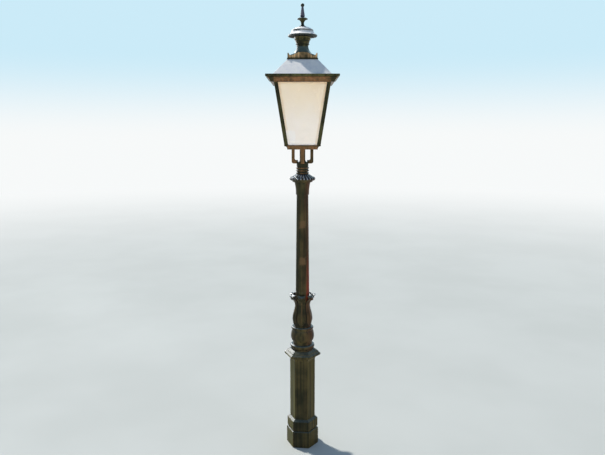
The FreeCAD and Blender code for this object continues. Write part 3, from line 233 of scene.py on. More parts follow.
SAND_FINE, SAND_COARSE = 420.0, 90.0
SAND_HEIGHT, SAND_STRENGTH = 0.0006, 0.3


def casting_paint(name, brown, share, marks=(), sides=None, wear=0.55, soot=0.7, gloss=1.0):
    """Dark paint that has browned by a share, with rain streaks, rubbed arrises and glossy ledges that carry
    a painted blue-green sky reflection.

    Marks are pairs of a mask and a colour, sides the colours of what is turned to the left and the right.
    Wear, soot and gloss are the amounts of rubbed arrises, of dark streaks and of the coat and painted sky
    reflection on ledges.
    """
    material, shader, place = start_finish(name, Specular_IOR_Level=0.08, Coat_Roughness=0.16)
    facing = facing_at(place)
    cloud = place.noise(CLOUD_SCALE).rise(*CLOUD_SPAN)
    fine = place.noise(FINE_SCALE, 5.0, 0.7)
    streak = place.stretched(STREAK_STRETCH).noise(1.0, 3.0).rise(*STREAK_SPAN)
    grime = place.stretched(GRIME_STRETCH).noise(1.0, 4.0).rise(*GRIME_SPAN)
    ledge = facing.part("Z").rise(*LEDGE_SPAN)
    rounded, arris = arrises(place)
    tone = cloud.blend(PAINT_DARK, PAINT_OLIVE)
    if sides:
        right = facing.part("X")
        patchy = streak.rise(0.0, 1.0, SIDE_LEAST, 1.0)
        for turned, colour in zip((-right, right), sides):
            tone = (turned.rise(*SIDE_SPAN, 0.0, SIDE_SHARE) * patchy).blend(tone, colour)
    browned = (cloud * 0.5 + streak * 0.5) * fine.rise(*BROWN_SPAN, BROWN_LEAST, 1.0)
    tone = (browned * share).blend(tone, brown)
    tone = (grime * soot).blend(tone, SOOT_AND_SHADE_DARK)
    tone = (arris * fine.rise(*FINE_SPAN) * wear).blend(tone, ARRIS_BROWN)
    # Painted sky reflection: surfaces that face up turn blue-green.
    tone = (ledge * (SKY_REFLECTION_SHARE * gloss)).blend(tone, LEDGE_SKY_REFLECTION)
    for mark, colour in marks:
        tone = mark(place).blend(tone, colour)
    sand = place.noise(SAND_FINE, 3.0) * 0.4 + place.noise(SAND_COARSE, 2.0) * 0.6
    connect(
        shader,
        Base_Color=tone,
        Roughness=fine * 0.14 + streak * 0.06 + PAINT_ROUGHNESS - ledge * 0.06,
        Coat_Weight=ledge * fine.rise(*FINE_SPAN, COAT_LEAST * gloss, gloss),
        Normal=sand.bumped(SAND_HEIGHT, SAND_STRENGTH, rounded),
    )
    return material


print("paint recipe ready")

# %% [markdown]
# The pedestal has weathered most. Both its sides have a yellow olive, stronger on the side turned to the
# left, and its ledges have about half as much gloss and painted sky reflection. The lip round the canopy is
# an even olive.

# %% Pedestal and canopy lip
# The pedestal's side colours: the first for surfaces turned to the left, the second for those turned to the
# right.
LEFT_OLIVE = (0.165, 0.145, 0.010, 1)
RIGHT_OLIVE = (0.120, 0.088, 0.016, 1)
POST_BROWN = (0.094, 0.054, 0.026, 1)
LIP_OLIVE = (0.085, 0.082, 0.030, 1)
PEDESTAL_SIDES = (LEFT_OLIVE, RIGHT_OLIVE)
pedestal_paint = casting_paint("pedestal_paint", POST_BROWN, 0.5, sides=PEDESTAL_SIDES, gloss=0.55)
dress(pedestal_paint, "base_pedestal", "service_door")
dress(casting_paint("lip_paint", LIP_OLIVE, 1.0), "canopy_lip")

# %% [markdown]
# Above the pedestal the post is green-black on the side turned to the left and reddish on the side turned
# to the right. The vase of the baluster wears six keeled leaves. Painted shade darkens the gaps between them
# and their foot above the ring, and the keels carry a painted highlight. Both follow the angle round the
# post, as a cosine of that angle.

# %% Baluster
# The post's side colours: the first for surfaces turned to the left, the second for those turned to the
# right.
LEFT_GREEN = (0.010, 0.018, 0.010, 1)
RIGHT_RED = (0.110, 0.036, 0.020, 1)
POST_SIDES = (LEFT_GREEN, RIGHT_RED)
LEAF_COUNT = 6
PEDESTAL_YAW = math.radians(-7.0)
FIRST_LEAF = PEDESTAL_YAW + math.pi / 2
VASE_FOOT, VASE_TOP = 0.732, 0.872
LEAF_POINT = 0.012
GAP_SPAN, GAP_SHADE = (0.70, 0.98), 0.85
KEEL_SPAN, KEEL_START = (0.95, 0.998), VASE_FOOT + 0.02


def wave_round(place, count, start):
    """A wave round the post that is one at a start angle and repeats by a count."""
    angle = place.maths("ARCTAN2", place.part("Y"), place.part("X"))
    return place.maths("COSINE", (angle - start) * count, 0.0)


def leaf_gap_shade(place):
    """Painted shade in the gaps between the leaves, which opens out round their pointed feet."""
    height = place.part("Z")
    wave = wave_round(place, LEAF_COUNT, FIRST_LEAF)
    gaps = (-wave).rise(*GAP_SPAN) * height.between(VASE_FOOT, VASE_TOP, 0.006)
    above_ring = height.rise(VASE_FOOT - 0.006, VASE_FOOT - 0.002)
    foot = (height + wave * LEAF_POINT).rise(VASE_FOOT + 0.006, VASE_FOOT + 0.012, 1.0, 0.0) * above_ring
    return gaps.maths("MAXIMUM", gaps, foot) * GAP_SHADE


def leaf_keel_highlights(place):
    """Painted highlights along the keels of the leaves, in patches."""
    keel = wave_round(place, LEAF_COUNT, FIRST_LEAF).rise(*KEEL_SPAN)
    highlight_patches = place.noise(50.0).rise(0.3, 0.6, 0.2, 0.6)
    return keel * place.part("Z").between(KEEL_START, VASE_TOP, 0.010) * highlight_patches


# Leaf gaps: painted shade. Keels: painted highlight.
leaf_marks = [(leaf_gap_shade, SOOT_AND_SHADE_DARK), (leaf_keel_highlights, ARRIS_BROWN)]
post_paint = casting_paint("post_paint", POST_BROWN, 0.6, leaf_marks, POST_SIDES)
dress(post_paint, "baluster")

# %% [markdown]
# Round the crown of the capital, channels part a ring of petals. The crests carry a painted pale highlight
# and the channels painted shade. The same wave round the post finds both, because the channels are evenly
# spaced.

# %% Capital
PETAL_COUNT = 24
PETAL_FOOT = 1.569
PETAL_HIGHLIGHT = (0.230, 0.265, 0.320, 1)
CHANNEL_SHADE = (0.008, 0.010, 0.011, 1)
CREST_SPAN, CHANNEL_SPAN, CHANNEL_SHADE_SHARE = (-0.1, 0.9), (0.1, 0.8), 0.85


def petal_crown(place):
    """One on the ring of petals and nought below it."""
    return place.part("Z").rise(PETAL_FOOT - 0.002, PETAL_FOOT + 0.004)


def petal_crest_highlights(place):
    """A painted highlight on the crests of the petals."""
    crest_patches = place.noise(40.0, 3.0).rise(0.3, 0.6, 0.3, 0.8)
    return (-wave_round(place, PETAL_COUNT, 0.0)).rise(*CREST_SPAN) * petal_crown(place) * crest_patches


def petal_channel_shade(place):
    """Painted shade in the channels between the petals."""
    return wave_round(place, PETAL_COUNT, 0.0).rise(*CHANNEL_SPAN) * petal_crown(place) * CHANNEL_SHADE_SHARE


# Crests: painted highlight. Channels: painted shade.
petal_marks = [(petal_crest_highlights, PETAL_HIGHLIGHT), (petal_channel_shade, CHANNEL_SHADE)]
dress(casting_paint("capital_paint", POST_BROWN, 0.5, petal_marks, POST_SIDES), "capital")

# %% [markdown]
# The corner posts are the darkest bars of the lantern, nearly black-green, and look darker still beside the
# pale panes. They need the plain recipe with a dark brown, and no marks.

# %% Corner posts
BAR_BROWN = (0.024, 0.026, 0.014, 1)
bar_paint = casting_paint("bar_paint", BAR_BROWN, 0.6)
dress(bar_paint, "corner_post_front_left", "corner_post_front_right")
dress(bar_paint, "corner_post_rear_left", "corner_post_rear_right")

# %% [markdown]
# Hands and straps have rubbed the shaft at two heights, and brown shows through there. The two patches are
# drawn as boxes on the front of the shaft, and noise added to the distance from their middle frays the
# border. Down the right edge of the lower shaft the red primer shows.

# %% Shaft
RUBBED_BROWN = (0.110, 0.066, 0.032, 1)
RUBBED_PATCHES = ((1.109, 0.021), (1.318, 0.020))
RUBBED_HALF_WIDTH, RUBBED_SHARE, RUBBED_FRAY = 0.017, 0.75, 1.2
EDGE_RED = (0.190, 0.016, 0.008, 1)
EDGE_START, EDGE_END = 0.0205, 0.025
EDGE_BACK = 0.010
EDGE_TOP, EDGE_FADE, EDGE_SHARE = 1.22, 0.25, 0.8


def rubbed(place):
    """Two frayed patches on the front of the shaft."""
    fray = (place.noise(55.0, 4.0) - 0.5) * RUBBED_FRAY
    across = abs(place.part("X")) * (1.0 / RUBBED_HALF_WIDTH)
    front = (-place.part("Y")).rise(0.0, 0.012)
    masks = []
    for height, half in RUBBED_PATCHES:
        along = abs(place.part("Z") - height) * (1.0 / half)
        masks.append((along.maths("MAXIMUM", along, across) + fray).rise(0.7, 1.25, 1.0, 0.0))
    return (masks[0] + masks[1]) * front * RUBBED_SHARE


def red_edge(place):
    """Red primer showing along the right edge of the lower shaft."""
    low = place.part("Z").rise(EDGE_TOP - EDGE_FADE, EDGE_TOP, 1.0, 0.0)
    worn = place.stretched((30.0, 30.0, 9.0)).noise(1.0, 3.0).rise(0.25, 0.55)
    front = (-place.part("Y")).rise(-EDGE_BACK, 0.0)
    return place.part("X").rise(EDGE_START, EDGE_END) * front * low * worn * EDGE_SHARE


shaft_marks = [(rubbed, RUBBED_BROWN), (red_edge, EDGE_RED)]
dress(casting_paint("shaft_paint", POST_BROWN, 0.55, shaft_marks, POST_SIDES), "post_shaft")

# %% [markdown]
# ## The lantern's brown frame
# Heat from the lantern and sun on the rails have turned the same paint a warm brown, most on the cornice, the
# base rail and the arms of the cradle. Cornice and rail are darker at the corners by the posts, and painted
# shade darkens the hub of the cradle between its arms. All three are marks by place.

# %% Cornice, base and cradle
FRAME_BROWN = (0.190, 0.092, 0.044, 1)
BAR_DARK = (0.018, 0.021, 0.011, 1)
CORNER_START, CORNER_END = 0.148, 0.171
HUB_RADIUS, BEAD_RADIUS = 0.0333, 0.0358
RAIL_CORNER = 0.079
FRAME_SOOT = 0.3


def along_side(place):
    """How far a place on a four-sided piece is from the middle of its side."""
    across = abs(place.part("X"))
    return across.maths("MINIMUM", across, abs(place.part("Y")))


def cornice_corners(place):
    """The corners of the cornice, above the posts."""
    return along_side(place).between(CORNER_START, CORNER_END, 0.002) * 0.9


def cradle_hub_shade(place):
    """Painted shade on the hub of the cradle, up to the bead round it."""
    x, y = place.part("X"), place.part("Y")
    return (x * x + y * y).rise(HUB_RADIUS ** 2, BEAD_RADIUS ** 2, 0.95, 0.0)


def rail_corners(place):
    """The corners of the base rail, below the posts."""
    return along_side(place).rise(RAIL_CORNER, RAIL_CORNER + 0.005) * 0.8


cornice_marks = [(cornice_corners, BAR_DARK)]
# The hub's dark is painted shade between the arms.
cradle_marks = [(cradle_hub_shade, BAR_DARK)]
rail_marks = [(rail_corners, BAR_DARK)]
dress(casting_paint("cornice_paint", FRAME_BROWN, 1.5, cornice_marks, soot=FRAME_SOOT), "eave_frame")
dress(casting_paint("cradle_paint", FRAME_BROWN, 1.2, cradle_marks, soot=FRAME_SOOT), "lantern_cradle")
rail_paint = casting_paint("rail_paint", FRAME_BROWN, 1.3, rail_marks, soot=FRAME_SOOT)
dress(rail_paint, "lantern_base", "supply_tube")

# %% [markdown]
# ## Gallery, chimney and finial
# The scalloped gallery is the brownest casting, above a dark bead. The chimney's flared skirt is blue-green,
# while its drum under the cap is brown, with painted shade in its two grooves. The spike of the finial has a
# purple bloom, and the ball on its end is dark. Heights divide all of these.

# %% Crown castings
GALLERY_BROWN = (0.640, 0.410, 0.205, 1)
SKIRT_TEAL = (0.090, 0.130, 0.115, 1)
DRUM_BROWN = (0.175, 0.145, 0.055, 1)
SPIKE_BLOOM = (0.092, 0.090, 0.135, 1)
BEAD_HEIGHT = 0.008
SKIRT_TOP = 2.278
GROOVES, GROOVE_WIDTH = (2.284, 2.304), 0.007
SPIKE_SHARE, BALL_HEIGHT = 0.35, 0.018
MARK_SHARE, BLOOM_ON_SPIKE = 0.9, 0.7
bead_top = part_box("gallery")[0][2] + BEAD_HEIGHT
finial_low, finial_high = (corner[2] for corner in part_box("finial"))
spike_start = finial_low + (finial_high - finial_low) * SPIKE_SHARE
ball_start = finial_high - BALL_HEIGHT


def gallery_bead(place):
    """The bead at the foot of the gallery."""
    return place.part("Z").rise(bead_top, bead_top + 0.003, MARK_SHARE, 0.0)


def chimney_skirt(place):
    """The flared lower part of the chimney."""
    return place.part("Z").rise(SKIRT_TOP - 0.004, SKIRT_TOP + 0.004, MARK_SHARE, 0.0)


def chimney_groove_shade(place):
    """Painted shade in the two grooves round the drum."""
    height = place.part("Z")
    low, high = (height.between(level, level + GROOVE_WIDTH, 0.0015) for level in GROOVES)
    return (low + high) * MARK_SHARE


def finial_spike(place):
    """The upper part of the finial."""
    return place.part("Z").rise(spike_start, spike_start + 0.01) * BLOOM_ON_SPIKE


def finial_ball(place):
    """The ball on the end of the finial."""
    return place.part("Z").rise(ball_start - 0.002, ball_start + 0.002) * MARK_SHARE


gallery_marks = [(gallery_bead, PAINT_DARK)]
# The grooves' dark is painted shade.
chimney_marks = [(chimney_skirt, SKIRT_TEAL), (chimney_groove_shade, BAR_DARK)]
finial_marks = [(finial_spike, SPIKE_BLOOM), (finial_ball, BAR_DARK)]
dress(casting_paint("gallery_paint", GALLERY_BROWN, 1.6, gallery_marks, soot=0.2), "gallery")
dress(casting_paint("chimney_paint", DRUM_BROWN, 1.6, chimney_marks), "chimney")
dress(casting_paint("finial_paint", BAR_BROWN, 0.6, finial_marks, wear=0.1), "finial")

# %% [markdown]
# ## Roof and cap
# The roof is pale sheet metal, weathered to a bluish grey with a soft crystal mottling. Cell texture makes
# the mottling, and long vertical noise makes the run marks below the crown. The cap on the chimney has
# green-grey paint on its rim and underside; its upper sides get the same pale sheet, a painted glare of the
# sun on that paint.

# %% Zinc
ZINC_PALE = (0.78, 0.76, 0.73, 1)
ZINC_DULL = (0.60, 0.60, 0.63, 1)
CAP_GREEN = (0.021, 0.026, 0.022, 1)
SPANGLE = 90.0
RUN_STRETCH, RUN_SPAN = (45.0, 45.0, 6.0), (0.42, 0.72)
UNDER_SPAN = (0.20, 0.55)
ZINC_ROUGHNESS = 0.36


def sheet_zinc(name, painted):
    """Weathered pale sheet with crystals and run marks, painted green-grey by a share where it doesn't face
    up; on the cap the pale top left over is a painted glare.
    """
    material, shader, place = start_finish(name, Metallic=0.0, Specular_IOR_Level=0.4)
    cells = {"Vector": place, "Scale": SPANGLE}
    crystal = place.node("ShaderNodeTexVoronoi", {"feature": "F1"}, cells, output="Color").part("X")
    runs = place.stretched(RUN_STRETCH).noise(1.0, 4.0).rise(*RUN_SPAN)
    cloud = place.noise(14.0).rise(0.35, 0.7)
    bare = (runs * 0.45 + cloud * 0.3 + crystal * 0.22).blend(ZINC_PALE, ZINC_DULL)
    # On the cap, what faces up stays pale as a painted sun glare; the rest takes the green-grey paint.
    under = (facing_at(place).part("Z") + cloud * 0.2).rise(*UNDER_SPAN, painted, 0.0)
    rounded, _ = arrises(place)
    connect(
        shader,
        Base_Color=under.blend(bare, CAP_GREEN),
        Roughness=cloud * 0.12 + crystal * 0.08 + ZINC_ROUGHNESS,
        Normal=(cloud + crystal * 0.1).bumped(0.0012, 0.3, rounded),
    )
    return material


dress(sheet_zinc("roof_zinc", 0.0), "roof")
dress(sheet_zinc("cap_paint_with_glare", 1.0), "chimney_cap")

# %% [markdown]
# ## Opal panes
# The panes are milky sheets that let light through but no image. They have yellowed near the top, where the
# bulb's heat collects. A narrow darker band along the upright edges is the painted shadow of the setting
# strip behind them. Light enters the sheet and spreads, so the shader's subsurface part carries it through.
# The front pane alone has a painted patch of light in its lower corner.

# %% Opal sheet
OPAL_CLEAN = (0.95, 0.81, 0.70, 1)
OPAL_AGED = (0.93, 0.64, 0.38, 1)
OPAL_BAND = (0.78, 0.52, 0.31, 1)
OPAL_SPREAD = {"Subsurface_Weight": 0.6, "Subsurface_Radius": (0.03, 0.027, 0.022), "Subsurface_Scale": 0.5}
OPAL_ROUGHNESS = 0.22
SIGHT_LOW, SIGHT_HIGH = 0.077, 0.128
BAND_WIDTH, BAND_SHARE = 0.013, 0.45
HEAD_START, HEAD_END, HEAD_SHARE = 0.016, 0.004, 0.5
AGED_SHARE = 0.6
pane_low, pane_high = (corner[2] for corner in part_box("pane_front"))
sight_slope = (SIGHT_HIGH - SIGHT_LOW) / (pane_high - pane_low)


def opal_sheet(name, marks=()):
    """Milky sheet, yellowed towards the top, with a painted shadow of the setting strip along its upright
    edges, faint clouds and spots.
    """
    material, shader, place = start_finish(name, Specular_IOR_Level=0.4, **OPAL_SPREAD)
    height = place.part("Z")
    cloud = place.noise(7.0).rise(0.3, 0.75)
    spots = place.noise(140.0, 2.0).rise(0.62, 0.8)
    sight = (height - pane_low) * sight_slope + SIGHT_LOW
    # Painted shadow of the setting strip along the upright edges.
    band = (along_side(place) - sight + cloud * 0.002).rise(-BAND_WIDTH, -BAND_WIDTH + 0.004)
    head = height.rise(pane_high - HEAD_START, pane_high - HEAD_END)
    aged = height.rise(pane_low, pane_high + 0.05) * AGED_SHARE + cloud * 0.15 + spots * 0.1
    tone = aged.blend(OPAL_CLEAN, OPAL_AGED)
    tone = (band * BAND_SHARE + head * HEAD_SHARE).blend(tone, OPAL_BAND)
    for mark, colour in marks:
        tone = mark(place).blend(tone, colour)
    connect(
        shader,
        Base_Color=tone,
        Roughness=spots * 0.15 + cloud * 0.08 + OPAL_ROUGHNESS,
        Normal=place.noise(30.0, 2.0).bumped(0.0008, 0.15),
    )
    return material


dress(opal_sheet("opal_sheet"), "pane_rear", "pane_left", "pane_right")

# %% Front pane with a painted light patch
PANE_LIGHT = (0.95, 0.85, 0.78, 1)
PATCH_RIGHT, PATCH_TOP, PATCH_SHARE = -0.040, 1.836, 0.6


def pane_light_patch(place):
    """A painted patch of light with a frayed border, in the lower left corner of the front pane."""
    fray = (place.noise(45.0, 3.0) - 0.5) * 0.02
    across = (place.part("X") + fray).rise(PATCH_RIGHT - 0.003, PATCH_RIGHT + 0.003, 1.0, 0.0)
    return across * (place.part("Z") + fray).rise(PATCH_TOP - 0.004, PATCH_TOP + 0.004, PATCH_SHARE, 0.0)


# The front pane carries a painted patch of light.
dress(opal_sheet("light_patch_opal_sheet", [(pane_light_patch, PANE_LIGHT)]), "pane_front")

# %% [markdown]
# ## Small metal and inside pieces
# Screws, nuts and stud are plated steel that has dulled; hinge leaves and pins are brass gone brown; the bulb
# holder is glazed ceramic, the wiring block a hard brown plastic, the bulb a frosted glass. They show when
# the canopy is open or the service door is seen from behind. One mottled finish does for all of them.

# %% Fixings and fittings
STEEL_CLEAN, STEEL_DULL = (0.42, 0.42, 0.40, 1), (0.20, 0.15, 0.10, 1)
BRASS_CLEAN, BRASS_BROWN = (0.42, 0.29, 0.10, 1), (0.16, 0.11, 0.05, 1)
PLASTIC_BROWN, PLASTIC_DARK = (0.10, 0.06, 0.035, 1), (0.06, 0.04, 0.025, 1)
GLAZE_PALE, GLAZE_STAINED = (0.74, 0.72, 0.66, 1), (0.60, 0.55, 0.46, 1)
FROST_PALE, FROST_GREY = (0.86, 0.86, 0.84, 1), (0.78, 0.77, 0.74, 1)


def mottled(name, clean, worn, metal, rough, grain):
    """A plain finish with small patches of a second colour and a fine skin."""
    material, shader, place = start_finish(name, Metallic=metal)
    patch = place.noise(grain, 5.0, 0.65).rise(0.38, 0.7)
    fine = place.noise(grain * 6.0, 2.0)
    connect(
        shader,
        Base_Color=patch.blend(clean, worn),
        Roughness=patch * 0.2 + rough,
        Normal=fine.bumped(0.0004, 0.25),
    )
    return material


steel = mottled("plated_steel", STEEL_CLEAN, STEEL_DULL, metal=0.9, rough=0.34, grain=120.0)
brass = mottled("hinge_brass", BRASS_CLEAN, BRASS_BROWN, metal=0.9, rough=0.36, grain=90.0)
plastic = mottled("wiring_plastic", PLASTIC_BROWN, PLASTIC_DARK, metal=0.0, rough=0.35, grain=60.0)
ceramic = mottled("holder_ceramic", GLAZE_PALE, GLAZE_STAINED, metal=0.0, rough=0.22, grain=45.0)
frost = mottled("bulb_frost", FROST_PALE, FROST_GREY, metal=0.0, rough=0.40, grain=50.0)
dress(steel, "terminal_board_screws", "cradle_bolts", "supply_locknut", "finial_stud", "cap_spacer")
dress(brass, "hinge_fixed_leaf_left", "hinge_fixed_leaf_right", "hinge_moving_leaf_left")
dress(brass, "hinge_moving_leaf_right", "hinge_pin_left", "hinge_pin_right")
dress(plastic, "terminal_block", "terminal_board")
dress(ceramic, "lampholder")
dress(frost, "bulb")

# %% [markdown]
# ## Slotted screws
# The frame has its screws as plain round blanks. The real ones are slotted: domed heads on the service door,
# flush heads in the hinge leaves and headless grub screws round the cradle. Each kind is drawn up once from a
# cylinder, ring by ring, and a bar cuts the slot with a Boolean. Copies are set where the blanks are, each
# with its slot turned another way, as hands leave them, and joined to one piece.

# %% Copy helpers
FACE_ON = 0.9


def pick_faces(piece, chosen):
    """Leaves a piece in edit mode with only those faces selected whose normal passes a test."""
    bpy.ops.object.mode_set(mode="EDIT")
    bpy.ops.mesh.select_mode(type="FACE")
    bpy.ops.mesh.select_all(action="DESELECT")
    bpy.ops.object.mode_set(mode="OBJECT")
    for face in piece.data.polygons:
        face.select = chosen(face.normal)
    bpy.ops.object.mode_set(mode="EDIT")


def join_copies(model, name, spots):
    """Sets a copy of a model at each spot, a point and a turn, and joins the copies to one piece."""
    copies = []
    for point, turn in spots:
        copy = model.copy()
        copy.data = model.data.copy()
        bpy.context.collection.objects.link(copy)
        copy.location = point
        copy.rotation_euler = turn
        copies.append(copy)
    bpy.data.objects.remove(model)
    bpy.ops.object.select_all(action="DESELECT")
    for copy in copies:
        copy.select_set(True)
    bpy.context.view_layer.objects.active = copies[0]
    bpy.ops.object.join()
    piece = bpy.context.object
    bpy.ops.object.transform_apply(location=True, rotation=True, scale=True)
    piece.name = name
    return piece


print("copy helpers ready")

# %% Screw helpers
SCREW_SIDES = 40
FIRST_SLOT, NEXT_SLOT = math.radians(35.0), math.radians(50.0)
SMOOTH_ANGLE = math.radians(32.0)


def scale_ring(factor):
    """Makes the selected top of a screw wider or narrower."""
    bpy.ops.transform.resize(value=(factor, factor, 1.0))


def slotted_screw(rings, slot_width, slot_depth):
    """A screw along +Z drawn up through rings of radius and height, with a slot across its top."""
    bpy.ops.object.select_all(action="DESELECT")
    (foot_radius, foot), (radius, height) = rings[:2]
    bpy.ops.mesh.primitive_cylinder_add(
        vertices=SCREW_SIDES, radius=foot_radius, depth=height - foot, location=(0, 0, (foot + height) / 2))
    screw = bpy.context.object
    bpy.ops.object.transform_apply(location=True, rotation=True, scale=True)
    pick_faces(screw, lambda normal: normal.z > FACE_ON)
    scale_ring(radius / foot_radius)
    for next_radius, next_height in rings[2:]:
        bpy.ops.mesh.extrude_region_move(TRANSFORM_OT_translate={"value": (0, 0, next_height - height)})
        scale_ring(next_radius / radius)
        radius, height = next_radius, next_height
    bpy.ops.object.mode_set(mode="OBJECT")
    widest = max(ring[0] for ring in rings)
    bpy.ops.mesh.primitive_cube_add(size=1.0, location=(0, 0, height))
    bar = bpy.context.object
    bar.scale = (slot_width, widest * 3, slot_depth * 2)
    cut = screw.modifiers.new("slot", "BOOLEAN")
    cut.operation = "DIFFERENCE"
    cut.solver = "EXACT"
    cut.object = bar
    bpy.ops.object.select_all(action="DESELECT")
    bpy.context.view_layer.objects.active = screw
    bpy.ops.object.modifier_apply(modifier="slot")
    bpy.data.objects.remove(bar)
    return screw


def set_screws(screw, name, places, body, node):
    """Sets a screw at each place, a point and the way that its head looks, as one piece for a node."""
    spots = []
    for index, (point, outward) in enumerate(places):
        turn = Vector(outward).to_track_quat("Z", "Y").to_matrix().to_euler()
        turn.rotate_axis("Z", FIRST_SLOT + NEXT_SLOT * index)
        spots.append((point, turn))
    piece = join_copies(screw, name, spots)
    bpy.ops.object.shade_smooth_by_angle(angle=SMOOTH_ANGLE)
    piece.data.materials.clear()
    piece.data.materials.append(steel)
    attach(piece, body)
    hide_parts(node)
    print(name, len(spots), "screws,", len(piece.data.polygons), "faces")


# %% [markdown]
# Two domed screws hold the service door at the rear of the pedestal. The pedestal stands turned a little, so
# the way that their heads look is worked out from its turn.

# %% Door screws
DOOR_HEAD, DOOR_SHANK = 0.0038, 0.002
DOOR_SEAT = 0.066
DOOR_RINGS = ((DOOR_SHANK, -0.008), (DOOR_SHANK, 0.0), (DOOR_HEAD, 0.0001), (DOOR_HEAD, 0.0007),
              (0.0034, 0.0013), (0.0026, 0.0017), (0.0014, 0.00195))
door_low, door_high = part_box("service_door_screws")
rearward = Vector((-math.sin(PEDESTAL_YAW), math.cos(PEDESTAL_YAW), 0.0))
domed = slotted_screw(DOOR_RINGS, slot_width=0.0009, slot_depth=0.0009)
door_places = []
for level in (door_low.z + DOOR_HEAD, door_high.z - DOOR_HEAD):
    door_places.append((rearward * DOOR_SEAT + Vector((0.0, 0.0, level)), rearward))
set_screws(domed, "slotted_door_screws", door_places, "post", "service_door_screws")

# %% [markdown]
# Each hinge leaf has two flush screws. Those of the fixed leaves look up, those of the moving leaves look to
# the rear and ride on the canopy, and both kinds are as long as their blanks.

# %% Hinge screws
HINGE_HEAD, HINGE_SHANK, HINGE_RIM = 0.0026, 0.0016, 0.0024
HINGE_SPACING = 0.028
fixed_low, fixed_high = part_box("hinge_fixed_screws")
moving_low, moving_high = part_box("hinge_moving_screws")
screw_outer = fixed_high.x - HINGE_HEAD
screw_inner = screw_outer - HINGE_SPACING
fixed_places = []
moving_places = []
for across in (-screw_outer, -screw_inner, screw_inner, screw_outer):
    fixed_places.append(((across, (fixed_low.y + fixed_high.y) / 2, fixed_high.z), (0, 0, 1)))
    moving_places.append(((across, moving_high.y, (moving_low.z + moving_high.z) / 2), (0, 1, 0)))
for name, places, length, body, node in (
    ("slotted_fixed_screws", fixed_places, fixed_high.z - fixed_low.z, "post", "hinge_fixed_screws"),
    ("slotted_moving_screws", moving_places, moving_high.y - moving_low.y, "canopy", "hinge_moving_screws"),
):
    hinge_rings = ((HINGE_SHANK, -length), (HINGE_SHANK, -0.0014), (HINGE_HEAD, -0.0002),
                   (HINGE_HEAD, -0.0001), (HINGE_RIM, 0.0))
    flush = slotted_screw(hinge_rings, slot_width=0.0006, slot_depth=0.0006)
    set_screws(flush, name, places, body, node)

# %% [markdown]
# Three grub screws, evenly spaced round the socket of the cradle, clamp it on the post. They have no head,
# only a small chamfer, and one of them looks straight to the rear.

# %% Grub screws
GRUB_RADIUS, GRUB_RIM = 0.0035, 0.0029
GRUB_COUNT = 3
GRUB_RINGS = ((GRUB_RADIUS, -0.009), (GRUB_RADIUS, -0.0006), (GRUB_RIM, 0.0))
grub_low, grub_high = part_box("cradle_set_screws")
grub_level = (grub_low.z + grub_high.z) / 2
grub = slotted_screw(GRUB_RINGS, slot_width=0.0008, slot_depth=0.0012)
grub_places = []
for index in range(GRUB_COUNT):
    angle = math.pi / 2 + index * math.tau / GRUB_COUNT
    outward = Vector((math.cos(angle), math.sin(angle), 0.0))
    grub_places.append((outward * grub_high.y + Vector((0.0, 0.0, grub_level)), outward))
set_screws(grub, "slotted_set_screws", grub_places, "post", "cradle_set_screws")

# %% [markdown]
# ## Rolled leaf tips
# The six leaves of the baluster roll over at the top, and the rolls catch the light. The frame's leaves end
# in a plain edge, so a roll is laid on each tip. It starts as a short cylinder across the leaf. Its two ends
# are drawn out, each step smaller, lower and further back, and a subdivision rounds it. Then it is pressed
# flat and tilted up along the leaf, so the six tips flare like a cup.

# %% Rolls
ROLL_SIDES, ROLL_RADIUS, ROLL_LENGTH = 20, 0.0075, 0.016
ROLL_STEPS = ((0.0015, 0.007, 0.0015, 0.86), (0.0030, 0.006, 0.0030, 0.72), (0.0025, 0.003, 0.0025, 0.50))
ROLL_SQUASH, ROLL_TILT = (2.0, 0.95, 0.5), math.radians(60.0)
ROLL_REACH, ROLL_LEVEL = 0.062, 0.898
bpy.ops.object.select_all(action="DESELECT")
bpy.ops.mesh.primitive_cylinder_add(
    vertices=ROLL_SIDES, radius=ROLL_RADIUS, depth=ROLL_LENGTH, rotation=(math.pi / 2, 0.0, 0.0))
roll = bpy.context.object
bpy.ops.object.transform_apply(location=True, rotation=True, scale=True)
for side in (-1.0, 1.0):
    pick_faces(roll, lambda normal: normal.y * side > FACE_ON)
    for back, out, down, shrink in ROLL_STEPS:
        bpy.ops.mesh.extrude_region_move(TRANSFORM_OT_translate={"value": (-back, out * side, -down)})
        bpy.ops.transform.resize(value=(shrink, 1.0, shrink))
    bpy.ops.object.mode_set(mode="OBJECT")
soften = roll.modifiers.new("soften", "SUBSURF")
soften.levels = soften.render_levels = 2
bpy.ops.object.modifier_apply(modifier="soften")
pick_faces(roll, lambda normal: True)
bpy.ops.transform.resize(value=ROLL_SQUASH)
bpy.ops.transform.rotate(value=-ROLL_TILT, orient_axis="Y", center_override=(0.0, 0.0, 0.0))
bpy.ops.object.mode_set(mode="OBJECT")
print("one roll,", len(roll.data.polygons), "faces")

# %% Set the rolls
roll_spots = []
for index in range(LEAF_COUNT):
    angle = FIRST_LEAF + index * math.tau / LEAF_COUNT
    tip = (ROLL_REACH * math.cos(angle), ROLL_REACH * math.sin(angle), ROLL_LEVEL)
    roll_spots.append((tip, (0.0, 0.0, angle)))
leaf_rolls = join_copies(roll, "leaf_rolls", roll_spots)
bpy.ops.object.shade_smooth()
leaf_rolls.data.materials.append(post_paint)
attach(leaf_rolls, "post")
print("leaf rolls,", len(leaf_rolls.data.polygons), "faces")

# %% [markdown]
# ## Studio
# The floor is a plain pale sheet that keeps the lamp's shadow. Far off it pales into the surround, so that no
# line shows between the two. A backdrop would need a curved sheet; here distance from the lamp mixes in a
# pale glow instead, and only for rays that look at the floor, so that it lights nothing.

